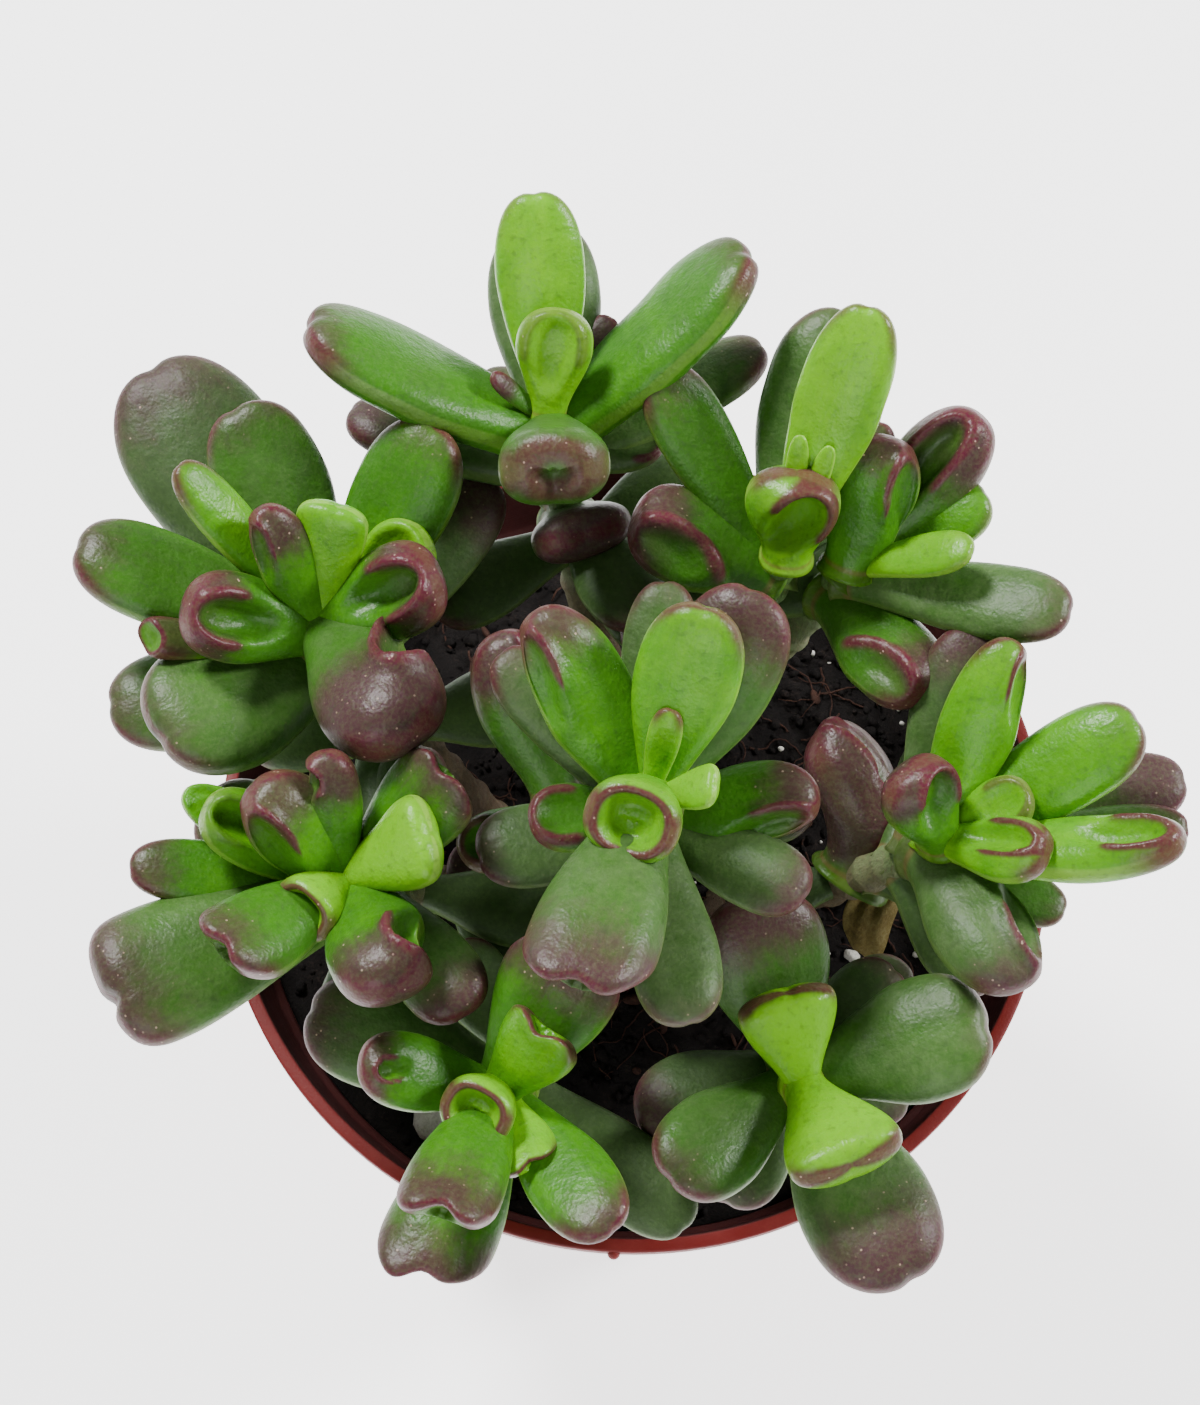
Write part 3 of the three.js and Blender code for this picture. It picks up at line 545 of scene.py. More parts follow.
def leaf_shape(row, rng):
    """Rings of a leaf from its foot to its tip, with the values its skin needs."""
    reach, wide, form = row.reach, row.wide, FORMS[row.form]
    half = wide / 2
    curled = form["pit"] or form["mouth"]
    around = (48 if curled else 40) if wide > 8 else 32
    stations = (64 if curled else 52) if reach > 16 else 40
    theta = circle(around)
    u, lift = np.cos(theta)[None, :], np.sin(theta)[None, :]
    s, narrow, past = outline(form, half, reach, stations)
    rising = smooth(s / form["peak"])
    collar = 1 + COLLAR * np.exp(-s * reach / COLLAR_RUN)
    a = half * (form["neck"] + (1 - form["neck"]) * rising) * narrow * collar
    b = half * (form["thick"] + (form["deep"] - form["thick"]) * rising) * narrow ** 0.9 * collar
    x, y = a * rounded_power(u), b * rounded_power(lift)
    edge = a * (1 - np.abs(u)) + 0 * lift
    push, pit, crest = 0 * x, 0 * x, 0 * x
    if form["pit"]:
        x, y, pit, crest = folded(form["pit"], half, b, (s - 1) * reach, x, y, lift, row.side)
    if form["mouth"]:
        phase = rng.uniform(0, 2 * math.pi)
        push, y, pit, crest = mouthed(form["mouth"], half, s, narrow, past, x, y, lift, phase)
        edge = edge + 10 * pit
    along_at, above_at, slope = spine(reach, row.bend, s[:, 0])
    c, n = np.cos(slope)[:, None], np.sin(slope)[:, None]
    points = np.stack([
        along_at[:, None] - n * y + c * push,
        x,
        above_at[:, None] + c * y + n * push,
    ], 2)
    nick = np.exp(-((x - rng.uniform(-0.1, 0.1) * wide) / (0.07 * wide)) ** 2)
    points[:, :, 0] -= form["nick"] * wide * 2 * nick * smooth((s - 0.86) / 0.14)
    form_values = np.stack([s + 0 * x, edge, crest], 2)
    flow = np.stack([x, s * reach + 0 * x, pit], 2)
    return points, form_values, flow


def zipped(points, values):
    """Closes the first and last ring by joining their upper and lower halves."""
    around = points.shape[1]
    half = around // 2
    mirror = [(-j) % around for j in range(around)]
    first = (points[0] + points[0][mirror]) / 2
    last = (points[-1] + points[-1][mirror]) / 2
    stack = [first[: half + 1], *points, last[: half + 1]]
    kept = [np.concatenate([v[0][: half + 1], *v, v[-1][: half + 1]]) for v in values]
    starts = np.cumsum([0] + [len(p) for p in stack]).tolist()
    twin = [min(j, around - j) for j in range(around)]
    steps = [twin, *[range(around)] * len(points), twin]
    rings = [[start + j for j in step] for start, step in zip(starts, steps)]
    faces = []
    for lower, upper in zip(rings, rings[1:]):
        for j in range(around):
            k = (j + 1) % around
            faces.append((lower[j], lower[k], upper[k], upper[j]))
    return np.concatenate(stack), faces, kept


BUMP_LENGTH = 9.0
BUMP_SHARE = 0.022


def make_leaf(name, stem, row, seed):
    rng = np.random.default_rng(seed)
    points, *values = leaf_shape(row, rng)
    flat, faces, kept = zipped(points, values)
    bumps = ripple(rng, flat, BUMP_LENGTH)[:, None] * np.array([0.0, 0.5, 1.0]) * BUMP_SHARE * row.wide
    flat = flat + bumps * smooth(flat[:, 0:1] / row.reach * 2)
    along, across, above = leaf_frame(row.turn, row.rise, row.roll)
    base = point_below_crown(stem, row.drop)
    world = base + flat[:, 0:1] * along + flat[:, 1:2] * across + flat[:, 2:3] * above
    leaf = mesh_object(name, world, faces)
    kept.append(np.tile([row.age, row.blush, rng.uniform(0, 50)], (len(flat), 1)))
    for title, vectors in zip(("leaf_form", "leaf_flow", "leaf_mood"), kept):
        keep_vectors(leaf, title, vectors)
    return leaf


# ---- shader graph helpers
class Graph:
    """Builds a material's nodes."""

    def __init__(self, name):
        self.material = bpy.data.materials.new(name)
        self.material.use_nodes = True
        self.tree = self.material.node_tree
        self.shader = self.tree.nodes["Principled BSDF"]

    def feed(self, socket, value):
        if hasattr(value, "is_output"):
            self.tree.links.new(value, socket)
        else:
            socket.default_value = value

    def node(self, kind, *items, **settings):
        """A node with its settings and its first inputs."""
        made = self.tree.nodes.new(kind)
        for key, value in settings.items():
            setattr(made, key, value)
        for socket, item in zip(made.inputs, items):
            self.feed(socket, item)
        return made

    def texture(self, kind, where, output, fixed, **settings):
        made = self.node(kind, where, **settings)
        for name, value in fixed.items():
            made.inputs[name].default_value = value
        return made.outputs[output]

    def math(self, kind, a, b):
        return self.node("ShaderNodeMath", a, b, operation=kind).outputs[0]

    def add(self, total, *items):
        for item in items:
            total = self.math("ADD", total, item)
        return total

    def times(self, product, *items):
        for item in items:
            product = self.math("MULTIPLY", product, item)
        return product

    def sway(self, noise, amount):
        """A noise as a change up and down."""
        return self.times(self.math("SUBTRACT", noise, 0.5), amount)

    def step(self, *items):
        """A smooth step: value, its low and high ends, and what they become if not 0 and 1."""
        return self.node("ShaderNodeMapRange", *items, interpolation_type="SMOOTHSTEP").outputs[0]

    def mix(self, share, a, b):
        made = self.node("ShaderNodeMix", share, data_type="RGBA")
        for index, colour in ((6, a), (7, b)):
            self.feed(made.inputs[index], (*colour, 1) if isinstance(colour, tuple) else colour)
        return made.outputs[2]

    def vector(self, kind, *items, output="Vector"):
        return self.node("ShaderNodeVectorMath", *items, operation=kind).outputs[output]

    def parts(self, vector):
        return self.node("ShaderNodeSeparateXYZ", vector).outputs

    def attribute(self, name):
        return self.node("ShaderNodeAttribute", attribute_name=name).outputs["Vector"]

    def place(self):
        """The surface point in millimetres."""
        return self.vector("MULTIPLY", self.node("ShaderNodeTexCoord").outputs["Object"], (1000, 1000, 1000))

    def noise(self, where, scale, detail=3.0, roughness=0.55):
        fixed = {"Scale": scale, "Detail": detail, "Roughness": roughness}
        return self.texture("ShaderNodeTexNoise", where, 0, fixed)

    def cells(self, where, scale, feature="F1"):
        return self.texture("ShaderNodeTexVoronoi", where, "Distance", {"Scale": scale}, feature=feature)

    def ramp(self, share, stops):
        made = self.node("ShaderNodeValToRGB", share)
        while len(made.color_ramp.elements) < len(stops):
            made.color_ramp.elements.new(0.5)
        for element, (place, colour) in zip(made.color_ramp.elements, stops):
            element.position = place
            element.color = (*colour, 1)
        return made.outputs[0]

    def bump(self, height, depth, below=None):
        """depth is the height's full range in millimetres."""
        made = self.node("ShaderNodeBump", 1.0, depth * MM)
        self.feed(made.inputs["Height"], height)
        if below is not None:
            self.feed(made.inputs["Normal"], below)
        return made.outputs[0]

    def done(self, colour, roughness, normal, **fixed):
        self.feed(self.shader.inputs["Base Color"], colour)
        self.feed(self.shader.inputs["Roughness"], roughness)
        self.feed(self.shader.inputs["Normal"], normal)
        for name, value in fixed.items():
            self.shader.inputs[name.replace("_", " ")].default_value = value
        return self.material


def shade(*display):
    """A display colour, 0 to 255, as linear light."""
    return tuple(((c / 255 + 0.055) / 1.055) ** 2.4 if c > 10 else c / 255 / 12.92 for c in display)


# ---- materials
AGE_COLOURS = [
    (0.0, (0.15, 0.42, 0.0005)),
    (0.18, (0.075, 0.29, 0.0005)),
    (0.4, (0.034, 0.155, 0.003)),
    (0.6, (0.038, 0.11, 0.012)),
    (0.8, (0.043, 0.09, 0.022)),
    (1.0, (0.052, 0.09, 0.03)),
]
CRIMSON = (0.09, 0.008, 0.023)
PLUM = (0.059, 0.011, 0.026)
GREY_PLUM = (0.056, 0.024, 0.03)


def leaf_material(name, polish):
    g = Graph(name)
    along, edge, crest = g.parts(g.attribute("leaf_form"))
    flow = g.attribute("leaf_flow")
    pit = g.parts(flow)[2]
    age, blush, seed = g.parts(g.attribute("leaf_mood"))
    offset = g.node("ShaderNodeCombineXYZ", seed, seed, seed).outputs[0]
    where = g.vector("ADD", g.place(), offset)
    streak_place = g.vector("ADD", g.vector("MULTIPLY", flow, (1.6, 0.16, 1.0)), offset)
    broad = g.noise(where, 0.11, 3.0)
    patch = g.noise(where, 0.4, 4.0, 0.6)
    streak = g.noise(streak_place, 1.0, 4.0, 0.6)
    fine = g.noise(where, 2.2, 4.0, 0.65)
    mottle = g.noise(where, 1.1, 4.0, 0.6)
    # green, older towards the tip and in patches and lengthwise streaks
    older = g.add(age, g.sway(broad, 0.35), g.sway(patch, 0.16), g.sway(streak, 0.14))
    older = g.math("SUBTRACT", older, g.step(along, 0.45, 0.0, 0.0, 0.07))
    green = g.ramp(older, AGE_COLOURS)
    # the grey bloom of full-grown leaves, partly real bloom and partly a painted sheen: pale grey-green in
    # patches
    bloom_and_sheen = g.times(g.step(age, 0.52, 0.68), g.step(age, 0.84, 0.77), g.step(patch, 0.3, 0.7, 0.0, 0.1))
    green = g.mix(bloom_and_sheen, green, shade(150, 170, 122))
    # purple that starts at the tip and on the folds and fades into the green
    fray = g.add(g.sway(patch, 0.24), g.sway(streak, 0.1), g.sway(fine, 0.12))
    start = g.math("SUBTRACT", g.step(blush, 0.9, 1.0, 1.0, 0.5), g.times(blush, 0.5))
    ahead = g.add(g.math("SUBTRACT", along, start), fray)
    tip_zone = g.times(
        g.step(ahead, -0.03, 0.24), g.step(blush, 0.0, 0.6, 0.3, 0.9), g.step(age, 0.08, 0.34, 0.1, 1.0),
        g.step(pit, 0.1, 0.9, 1.0, 0.35))
    rim_zone = g.times(g.step(g.add(edge, g.sway(patch, 1.2)), 1.5, 0.1), g.step(along, 0.74, 0.95))
    ridge = g.step(g.add(crest, fray), 0.3, 0.8)
    lip_zone = g.times(g.math("MAXIMUM", rim_zone, ridge), g.step(blush, 0.0, 0.4, 0.0, 0.95))
    purple = g.mix(lip_zone, PLUM, CRIMSON)
    purple = g.mix(g.step(age, 0.5, 0.95, 0.0, 0.45), purple, GREY_PLUM)
    colour = g.mix(lip_zone, g.mix(tip_zone, green, purple), purple)
    # pale line along the margin, partly the margin's own paler skin and partly painted rim light; pale pores
    # on the purple, darker flecks and mottling
    flushed = g.math("MAXIMUM", lip_zone, tip_zone)
    bare = g.math("SUBTRACT", 1.0, g.times(flushed, 0.9))
    # the pale margin line, stronger on young leaves: partly painted rim light
    line = g.times(g.step(edge, 0.22, 0.05), g.step(age, 0.0, 0.7, 0.3, 0.08), bare)
    colour = g.mix(line, colour, shade(176, 208, 96))
    pore = g.times(g.step(g.cells(where, 0.85), 0.15, 0.065), g.step(patch, 0.4, 0.6))
    pore = g.times(pore, g.step(flushed, 0.1, 0.6, 0.05, 0.6))
    colour = g.mix(pore, colour, shade(200, 170, 150))
    fleck = g.times(g.step(g.cells(where, 0.9), 0.16, 0.05), g.step(age, 0.3, 0.8, 0.0, 0.3))
    colour = g.mix(fleck, colour, shade(30, 48, 22))
    colour = g.mix(g.step(fine, 0.35, 0.75, 0.0, 0.08), colour, shade(150, 190, 110))
    colour = g.mix(g.step(mottle, 0.52, 0.72, 0.0, 0.3), colour, shade(24, 40, 20))
    # the thin brown seam where the leaf joins the stem
    seam = g.times(g.step(along, 0.11, 0.075), g.step(along, 0.05, 0.07, 0.3, 1.0), 0.55)
    colour = g.mix(seam, colour, shade(120, 92, 60))
    rough = g.add(polish, g.sway(patch, 0.2), g.step(age, 0.5, 0.9, 0.0, 0.1), g.sway(fine, 0.16))
    normal = g.bump(g.noise(where, 0.3, 2.0), 0.2)
    normal = g.bump(mottle, 0.07, normal)
    normal = g.bump(g.cells(where, 2.6, "SMOOTH_F1"), 0.04, normal)
    normal = g.bump(streak, 0.03, normal)
    return g.done(
        colour, rough, normal, Subsurface_Weight=0.16, Subsurface_Radius=(0.5, 1.0, 0.3),
        Subsurface_Scale=0.0016, Specular_IOR_Level=0.26)


GREEN_ABOVE_RIM = 42
WOOD_ABOVE_RIM = 2


def stem_material():
    g = Graph("stem_skin")
    where = g.place()
    height = g.parts(where)[2]
    broad = g.noise(where, 0.15, 3.0)
    patch = g.noise(where, 0.6, 5.0, 0.65)
    grain = g.noise(g.vector("MULTIPLY", where, (2.2, 2.2, 0.5)), 1.0, 5.0, 0.7)
    low = g.step(height, POT_HEIGHT + GREEN_ABOVE_RIM, POT_HEIGHT + WOOD_ABOVE_RIM)
    colour = g.ramp(g.add(low, g.sway(broad, 0.8)), [
        (0.0, shade(92, 130, 62)),
        (0.35, shade(104, 118, 74)),
        (0.7, shade(112, 98, 70)),
        (1.0, shade(86, 70, 52)),
    ])
    colour = g.mix(g.step(grain, 0.4, 0.7, 0.0, 0.5), colour, shade(70, 58, 40))
    colour = g.mix(g.step(patch, 0.55, 0.75, 0.0, 0.35), colour, shade(160, 150, 120))
    normal = g.bump(patch, 0.25, g.bump(grain, 0.35))
    rough = g.step(patch, 0.2, 0.8, 0.5, 0.8)
    return g.done(colour, rough, normal, Subsurface_Weight=0.05, Subsurface_Scale=0.001)


def soil_material(name, stops, depth, rough_low, rough_high):
    """stops: place and display colour. depth: the bump's range."""
    g = Graph(name)
    where = g.place()
    patch = g.noise(where, 0.35, 5.0, 0.65)
    fine = g.noise(where, 2.4, 6.0, 0.7)
    share = g.add(g.times(patch, 0.5), g.times(fine, 0.5))
    colour = g.ramp(share, [(place, shade(*display)) for place, *display in stops])
    rough = g.step(fine, 0.2, 0.8, rough_low, rough_high)
    return g.done(colour, rough, g.bump(fine, depth), Specular_IOR_Level=0.15)


def pot_material():
    g = Graph("pot_plastic")
    where = g.place()
    broad = g.noise(where, 0.03, 3.0)
    patch = g.noise(where, 0.25, 4.0, 0.6)
    fine = g.noise(where, 3.0, 4.0, 0.6)
    rings = g.noise(g.vector("MULTIPLY", where, (0.02, 0.02, 1.4)), 1.0, 3.0, 0.6)
    colour = g.mix(broad, shade(116, 28, 25), shade(100, 25, 25))
    colour = g.mix(g.step(patch, 0.5, 0.8, 0.0, 0.18), colour, shade(144, 52, 44))
    colour = g.mix(g.step(fine, 0.6, 0.8, 0.0, 0.2), colour, shade(120, 44, 38))
    # the inside of the wall, darkened with painted shade where it stands in shadow
    outward = g.vector("NORMALIZE", g.vector("MULTIPLY", where, (1, 1, 0)))
    face = g.node("ShaderNodeNewGeometry").outputs["Normal"]
    inside = g.step(g.vector("DOT_PRODUCT", outward, face, output="Value"), -0.2, -0.6)
    # the dark purplish red of the painted shade on the inner wall
    painted_inner_shade = g.mix(patch, shade(40, 20, 22), shade(74, 30, 28))
    colour = g.mix(g.times(inside, 0.92), colour, painted_inner_shade)
    rough = g.add(g.step(patch, 0.2, 0.8, 0.34, 0.5), g.times(fine, 0.06), g.times(inside, 0.25))
    normal = g.bump(fine, 0.04, g.bump(rings, 0.1))
    return g.done(
        colour, rough, normal, Subsurface_Weight=0.03, Subsurface_Scale=0.001, Specular_IOR_Level=0.3)


POLISH = {"leaf_young": 0.34, "leaf_green": 0.38, "leaf_blushed": 0.38}
leaf_skin = {name: leaf_material(name, polish) for name, polish in POLISH.items()}
stem_skin = stem_material()
peat = soil_material("peat", ((0.3, 11, 10, 10), (0.55, 26, 22, 21), (0.78, 66, 55, 50)), 0.5, 0.75, 0.98)
perlite = soil_material(
    "perlite", ((0.3, 150, 146, 134), (0.55, 222, 219, 210), (0.8, 244, 242, 236)), 0.3, 0.6, 0.9)
bark = soil_material("bark", ((0.3, 36, 24, 20), (0.55, 66, 44, 36), (0.8, 112, 80, 64)), 0.4, 0.55, 0.85)
dry_leaf = soil_material(
    "dry_leaf", ((0.3, 92, 76, 44), (0.5, 148, 130, 78), (0.75, 190, 176, 122)), 0.5, 0.5, 0.8)
pot_plastic = pot_material()


# ---- pot
def wall_radius(z):
    """Outer radius of the conical wall at a height."""
    top = RIM_RADIUS - LIP_OVERHANG - BAND_INSET - BAND_GAP
    return BASE_RADIUS + (top - BASE_RADIUS) * z / BAND_BOTTOM


def rounded(corners):
    """A profile with each marked corner rounded."""
    profile = []
    for index, (r, z, soft) in enumerate(corners):
        if not soft:
            profile.append((r, z))
            continue
        here = np.array([r, z])
        before, after = (np.array(corners[index + side][:2]) - here for side in (-1, 1))
        low, high = np.linalg.norm(before), np.linalg.norm(after)
        cut = min(CORNER_RADIUS, low * CORNER_SHARE, high * CORNER_SHARE)
        start = here + before / low * cut
        end = here + after / high * cut
        for t in np.linspace(0, 1, CORNER_STEPS + 1):
            profile.append(tuple((1 - t) ** 2 * start + 2 * t * (1 - t) * here + t * t * end))
    return profile


def around_axis(radius, angle, z):
    return radius * math.cos(angle) * MM, radius * math.sin(angle) * MM, z * MM


def make_pot():
    band = wall_radius(BAND_BOTTOM)
    band_top = BAND_BOTTOM + BAND_RISE
    middle = wall_radius(WALL_MIDDLE)
    floor_top = FLOOR_UNDERSIDE + FLOOR_THICKNESS
    foot_inner = BASE_RADIUS - FOOT_RING_WIDTH
    lip_under = POT_HEIGHT - LIP_HEIGHT
    lip_inner = RIM_RADIUS - LIP_OVERHANG
    points, faces = lathe(rounded([
        (0, 0, False),
        (CENTRE_PAD_RADIUS, 0, True),
        (CENTRE_PAD_RADIUS, FLOOR_UNDERSIDE, True),
        (foot_inner, FLOOR_UNDERSIDE, True),
        (foot_inner, 0, True),
        (BASE_RADIUS, 0, True),
        (middle, WALL_MIDDLE, False),
        (band, BAND_BOTTOM, True),
        (band + BAND_STEP, band_top, True),
        (lip_inner, lip_under, True),
        (RIM_RADIUS, lip_under, True),
        (RIM_RADIUS, POT_HEIGHT, True),
        (RIM_RADIUS - LIP_WIDTH, POT_HEIGHT, True),
        (lip_inner - WALL, lip_under, False),
        (band + BAND_STEP - WALL, band_top, True),
        (band - WALL, BAND_BOTTOM, True),
        (middle - WALL, WALL_MIDDLE, False),
        (wall_radius(floor_top) - WALL, floor_top, True),
        (0, floor_top, False),
    ]), POT_SIDES)
    pot = mesh_object("nursery_pot", points, faces)
    bpy.ops.mesh.primitive_uv_sphere_add(
        segments=20, ring_count=12, radius=NUB_RADIUS * MM,
        location=around_axis(RIM_RADIUS, NUB_TURN * RAD, POT_HEIGHT - NUB_DROP))
    combine(pot, "UNION")
    # Each cutter is turned a little: with corners right on the floor's own edges the cut leaves slivers.
    for index in range(DRAIN_HOLES):
        angle = (index + 0.5) * 2 * math.pi / DRAIN_HOLES
        bpy.ops.mesh.primitive_cylinder_add(
            vertices=32, radius=DRAIN_RADIUS * MM, depth=CUTTER_LENGTH * MM,
            rotation=(0, 0, CUTTER_TURN * RAD), location=around_axis(DRAIN_CIRCLE, angle, CUTTER_HEIGHT))
        combine(pot, "DIFFERENCE")
    whole = bmesh.new()
    whole.from_mesh(pot.data)
    bmesh.ops.remove_doubles(whole, verts=whole.verts, dist=WELD_GAP * MM)
    bmesh.ops.dissolve_degenerate(whole, edges=whole.edges, dist=WELD_GAP * MM)
    whole.to_mesh(pot.data)
    whole.free()
    pot.data.shade_smooth()
    pot.data.set_sharp_from_angle(angle=SHARP_ANGLE * RAD)
    finish_piece(pot, pot_plastic, ["pot"])


# ---- stems as one grown body each
ROOT_DEPTH = 14
ROOT_STEPS = 12
STEM_STEPS = 121
SCAR_SPACING = 6.0
STEM_SEED = 900
STEM_VOXEL = 0.42


def tube(path, radii, sides=18):
    """A closed tube along a path."""
    tangents = np.gradient(path, axis=0)
    tangents /= np.linalg.norm(tangents, axis=1)[:, None]
    side = np.cross(tangents, (0.31, 0.87, 0.11))
    side /= np.linalg.norm(side, axis=1)[:, None]
    other = np.cross(tangents, side)
    angles = circle(sides)
    rings = [
        p + r * (np.cos(angles)[:, None] * s + np.sin(angles)[:, None] * o)
        for p, r, s, o in zip(path, radii, side, other)
    ]
    points = np.concatenate(rings)
    faces = [tuple(range(sides))[::-1]]
    for ring in range(len(rings) - 1):
        a, b = ring * sides, (ring + 1) * sides
        for j in range(sides):
            k = (j + 1) % sides
            faces.append((a + j, a + k, b + k, b + j))
    faces.append(tuple((len(rings) - 1) * sides + j for j in range(sides)))
    return points, faces


def stem_tube(shoot, rng):
    """A shoot's stem: thick at the soil, with a ring at each place where leaves sat."""
    path, length = stem_points(shoot, STEM_STEPS)
    down = np.array([0, 0, -1.0])
    root = [path[0] + down * d for d in np.linspace(ROOT_DEPTH, 0.5, ROOT_STEPS)]
    share = np.concatenate([np.zeros(ROOT_STEPS), np.linspace(0, 1, STEM_STEPS)])
    radii = STEM_RADIUS_LOW + (STEM_RADIUS_TOP - STEM_RADIUS_LOW) * share
    run = share * length
    for drop in np.arange(7, length - 3, SCAR_SPACING):
        place = length - drop + rng.uniform(-1, 1)
        radii = radii + 0.42 * np.exp(-((run - place) / 0.8) ** 2)
        radii = radii - 0.12 * np.exp(-((run - place - 1.8) / 1.2) ** 2)
    radii[-3:] *= (0.9, 0.7, 0.4)
    return tube(np.concatenate([root, path]), radii)


def make_stems():
    trunks = {}
    for shoot in SHOOTS.values():
        trunks.setdefault(shoot["trunk"], []).append(shoot)
    for number, (trunk, shoots) in enumerate(sorted(trunks.items())):
        rng = np.random.default_rng(STEM_SEED + number)
        stem = mesh_object("jade_" + trunk, *joined([stem_tube(shoot, rng) for shoot in shoots]))
        modify(stem, "REMESH", mode="VOXEL", voxel_size=STEM_VOXEL * MM)
        modify(stem, "SMOOTH", iterations=3)
        stem.data.shade_smooth()
        finish_piece(stem, stem_skin, [trunk])


# ---- soil
def soil_height(x, y):
    """Height of the soil surface: a low crown with lumps."""
    r2 = (x * x + y * y) / SOIL_RADIUS ** 2
    lumps = 0.9 * np.sin(x * 0.31 + 1.3) * np.sin(y * 0.27 + 0.4) + 0.5 * np.sin(x * 0.83 + y * 0.6)
    return SOIL_TOP - 0.6 + SOIL_CROWN * (1 - r2) + lumps * (1 - r2 ** 3)


SOIL_SIDES = 140
SOIL_RINGS = 56
SOIL_GRAIN = 0.28


def make_soil():
    rng = np.random.default_rng(41)
    inner = wall_radius(SOIL_TOP) - WALL - 0.15
    angles = circle(SOIL_SIDES)
    points = [(0, 0, float(soil_height(0, 0)))]
    for ring in range(1, SOIL_RINGS + 1):
        r = inner * ring / SOIL_RINGS
        x, y = r * np.cos(angles), r * np.sin(angles)
        points += list(zip(x, y, soil_height(x, y) + rng.normal(0, SOIL_GRAIN, SOIL_SIDES)))
    low = SOIL_LOW.z / MM + 0.5
    deep = wall_radius(low) - WALL - 0.4
    points += [*hoop(deep, low, SOIL_SIDES), (0, 0, low)]
    soil = mesh_object("potting_soil", np.array(points), turned_faces(SOIL_SIDES, SOIL_RINGS + 1, True))
    finish_piece(soil, peat, ["soil"])


def crumb_forms():
    """Unit lumps of two finenesses."""
    forms = []
    for steps in (1, 2):
        made = bmesh.new()
        bmesh.ops.create_icosphere(made, subdivisions=steps, radius=1)
        made.verts.ensure_lookup_table()
        points = np.array([v.co for v in made.verts])
        faces = [tuple(v.index for v in f.verts) for f in made.faces]
        made.free()
        forms.append((points, faces))
    return forms


def turned(rng):
    """A random rotation."""
    basis, _ = np.linalg.qr(rng.normal(size=(3, 3)))
    return basis


def scatter(name, count, size, flat, fineness, material, seed, sink=0.3, places=()):
    """Lumps strewn over the soil as one piece. places adds lumps at given x, y and size."""
    rng = np.random.default_rng(seed)
    base, faces = crumb_forms()[fineness]
    limit = wall_radius(SOIL_TOP) - WALL - 1.5 * size[1]
    parts, spots = [], list(places)
    for _ in range(count):
        r = limit * math.sqrt(rng.uniform(0, 1))
        t = rng.uniform(0, 2 * math.pi)
        spots.append((r * math.cos(t), r * math.sin(t), rng.uniform(*size) * rng.uniform(0.6, 1.2)))
    for x, y, s in spots:
        shape = base * (1 + 0.28 * ripple(rng, base * 3, 5.0)[:, None])
        shape = shape * np.array([1, rng.uniform(0.55, 1), rng.uniform(*flat)]) * s
        shape = shape @ turned(rng)
        parts.append((shape + (x, y, float(soil_height(x, y)) + s * (0.5 - sink)), faces))
    finish_piece(mesh_object(name, *joined(parts)), material)


FIBRES = 170
FIBRE_STEPS = 14
FIBRE_STEP = 0.8


def make_fibres():
    rng = np.random.default_rng(77)
    parts = []
    for _ in range(FIBRES):
        r = (SOIL_RADIUS - 9) * math.sqrt(rng.uniform())
        t = rng.uniform(0, 2 * math.pi)
        place = np.array([r * math.cos(t), r * math.sin(t)])
        heading = rng.uniform(0, 2 * math.pi)
        path = []
        for _ in range(FIBRE_STEPS):
            path.append((*place, float(soil_height(*place)) + rng.uniform(0.1, 0.9)))
            heading += rng.normal(0, 0.35)
            place = place + FIBRE_STEP * np.array([math.cos(heading), math.sin(heading)])
        path = np.array(path)
        if np.hypot(path[:, 0], path[:, 1]).max() <= SOIL_RADIUS - 3:
            parts.append(tube(path, np.linspace(0.16, 0.07, FIBRE_STEPS), 5))
    finish_piece(mesh_object("soil_fibres", *joined(parts)), bark)


PERLITE_PLACES = [
    (-26.3, -35.4, 3.2), (-23.6, -33.4, 1.8), (4.1, -6.3, 0.9), (29.0, -13.7, 1.2), (24.9, -32.9, 1.1),
    (33.0, -34.9, 0.9), (23.0, -5.9, 1.2), (-17.0, -44.0, 0.7), (38.0, -20.0, 0.8), (-4.0, 37.0, 0.8),
]
BARK_PLACES = [(-1.7, 37.4, 2.4), (-12.0, -1.4, 2.2), (16.0, -12.0, 2.0), (-30.0, -30.0, 1.8)]
WITHERED_PLACE = (29.9, -7.5, 96)
WITHERED_LENGTH = 14
WITHERED_WIDTH = 6.8
WITHERED_RINGS = 40
WITHERED_SIDES = 28


def make_withered_leaf():
    """A shrivelled yellow-brown leaf that hangs by the right stem: a crinkled, curled blade."""
    rng = np.random.default_rng(55)
    t = np.linspace(0, 1, WITHERED_RINGS)[:, None]
    half = WITHERED_WIDTH / 2 * np.clip(np.sin(np.pi * (0.06 + 0.9 * t)) ** 0.7, 0.08, 1)
    theta = circle(WITHERED_SIDES)
    x = half * np.cos(theta)
    crinkle = 0.9 * np.sin(x * 1.7 + 6 * t + 2 * np.sin(x * 0.8)) * smooth(t * 3) * half / 4
    z = 0.9 * np.sin(theta) * (0.4 + 0.6 * half / 4) + crinkle
    down = t * WITHERED_LENGTH
    bow = 3.2 * np.sin(t * 2.6)
    points = np.stack([x + 0.6 * np.sin(t * 7), -down * 0.72 + 0 * x, z + bow - down * 0.5], 2)
    flat, faces, _ = zipped(points, ())
    flat = flat + ripple(rng, flat, 4.0)[:, None] * (0.2, 0.2, 0.35)
    leaf = mesh_object("withered_leaf", flat + WITHERED_PLACE, faces)
    finish_piece(leaf, dry_leaf)


# ---- build
def slot_of(age, blush):
    if age < YOUNG_AGE:
        return "leaf_young"
    return "leaf_blushed" if blush > BLUSHED else "leaf_green"


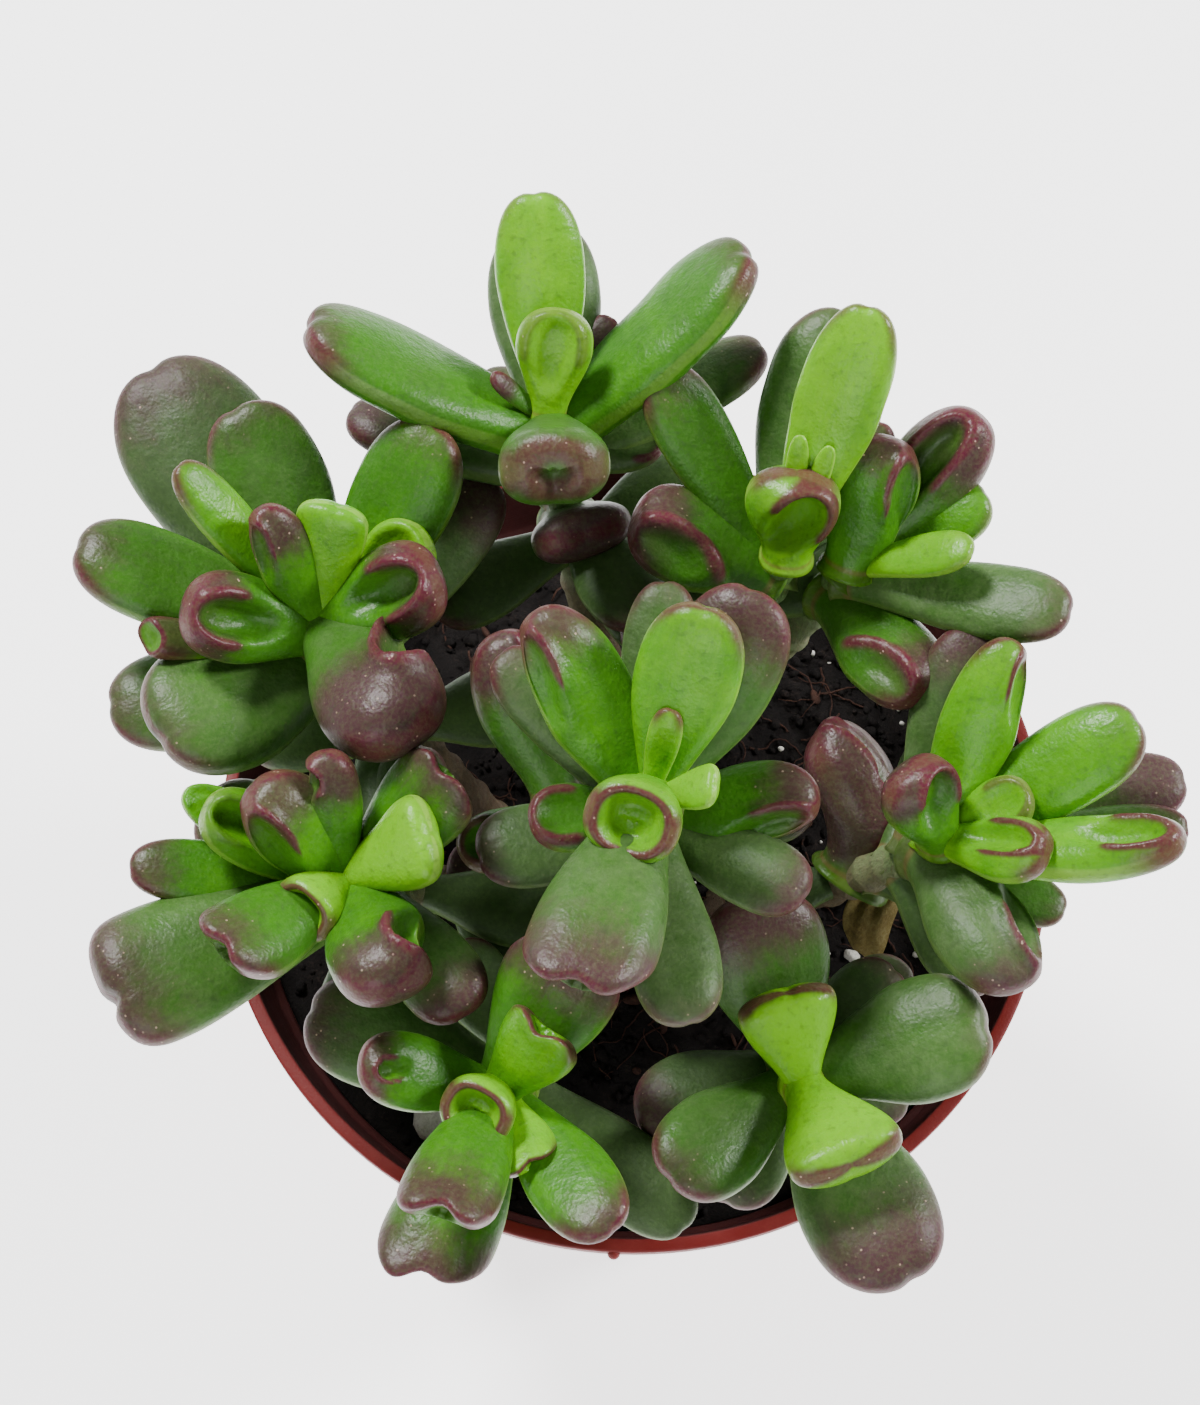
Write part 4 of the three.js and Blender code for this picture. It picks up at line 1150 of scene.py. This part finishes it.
def make_leaves():
    node_slot = {part["node"]: part["material_slot"] for part in frame["record"]["subparts"]}
    for number, (name, stem) in enumerate(SHOOTS.items(), 1):
        for index, row in enumerate(stem["leaves"], 1):
            node = f"leaf_{name}_{index}"
            slot = node_slot.get(node, slot_of(row.age, row.blush))
            leaf = make_leaf("jade_" + node, stem, row, 1000 * number + index)
            finish_piece(leaf, leaf_skin[slot], [node] if index <= stem["separate"] else ())


make_pot()
make_soil()
scatter("soil_crumbs", 2600, (0.25, 0.95), (0.5, 1.0), 0, peat, 11)
scatter("soil_perlite", 90, (0.2, 0.6), (0.7, 1.0), 1, perlite, 12, 0.1, PERLITE_PLACES)
scatter("soil_bark", 46, (0.5, 1.6), (0.2, 0.45), 1, bark, 13, 0.2, BARK_PLACES)
make_fibres()
make_withered_leaf()
make_stems()
make_leaves()


# ---- floor, light and camera
SWEEP_FLOOR = 1200
SWEEP_EDGE = 1700
SWEEP_HEIGHT = 620
TABLE_GLOW = 2.0
SWEEP_GLOW = 0.5
TABLE_RADIUS = 170
TABLE_FADE = 520
FLOOR_SIDES = 96
SWEEP_STEPS = 12
LIGHT_AIM = (0, 0, 0.11)
WORLD_LIGHT = 0.25


def make_floor():
    """A round white sweep, lit from within round the pot, whose edge curves up to a low wall."""
    profile = [(SWEEP_FLOOR * k / 4, 0) for k in range(5)]
    for t in np.linspace(0, 1, SWEEP_STEPS + 1)[1:] * math.pi / 2:
        r = SWEEP_FLOOR + (SWEEP_EDGE - SWEEP_FLOOR) * math.sin(t)
        profile.append((r, SWEEP_HEIGHT * (1 - math.cos(t))))
    points, faces = lathe(profile, FLOOR_SIDES, closed=False)
    mesh = bpy.data.meshes.new("studio_floor")
    mesh.from_pydata([tuple(p) for p in points * MM], [], faces)
    floor = linked("studio_floor", mesh)
    g = Graph("studio_floor")
    where = g.place()
    tone = g.mix(g.noise(where, 0.01, 3.0), (0.88, 0.88, 0.88), (0.92, 0.92, 0.92))
    soft = g.bump(g.noise(where, 0.5), 0.01)
    floor.data.materials.append(g.done(tone, 0.8, soft, Emission_Color=(1, 1, 1, 1)))
    away = g.vector("LENGTH", where, output="Value")
    glow = g.step(away, TABLE_RADIUS, TABLE_FADE, TABLE_GLOW, SWEEP_GLOW)
    g.feed(g.shader.inputs["Emission Strength"], glow)


def area_light(name, place, size, power):
    data = bpy.data.lights.new(name, "AREA")
    data.shape = "DISK"
    data.size = size
    data.energy = power
    lamp = bpy.data.objects.new(name, data)
    lamp.location = place
    lamp.rotation_euler = (Vector(LIGHT_AIM) - Vector(place)).to_track_quat("-Z", "Y").to_euler()
    bpy.context.scene.collection.objects.link(lamp)


def make_lights():
    world = bpy.data.worlds.new("studio")
    world.use_nodes = True
    background = world.node_tree.nodes["Background"]
    background.inputs["Color"].default_value = (1, 1, 1, 1)
    background.inputs["Strength"].default_value = WORLD_LIGHT
    bpy.context.scene.world = world
    area_light("key", (-0.35, 0.45, 0.75), 0.2, 12)
    area_light("side", (0.6, 0.15, 0.5), 0.16, 6.5)
    area_light("front", (-0.2, -0.7, 0.6), 0.5, 3)


CAMERA_ELEVATION = 70
CAMERA_DISTANCE = 0.350
CAMERA_AIM = (-0.00433, 0.0181, 0.088)
CAMERA_LENS = 67.69


def make_camera():
    data = bpy.data.cameras.new("camera")
    data.lens = CAMERA_LENS
    data.sensor_width = 36
    data.sensor_fit = "AUTO"
    data.clip_start = 0.01
    camera = bpy.data.objects.new("camera", data)
    forward = Vector((0, math.cos(CAMERA_ELEVATION * RAD), -math.sin(CAMERA_ELEVATION * RAD)))
    camera.location = Vector(CAMERA_AIM) - forward * CAMERA_DISTANCE
    camera.rotation_euler = ((90 - CAMERA_ELEVATION) * RAD, 0, 0)
    bpy.context.scene.collection.objects.link(camera)
    bpy.context.scene.camera = camera


make_floor()
make_lights()
make_camera()
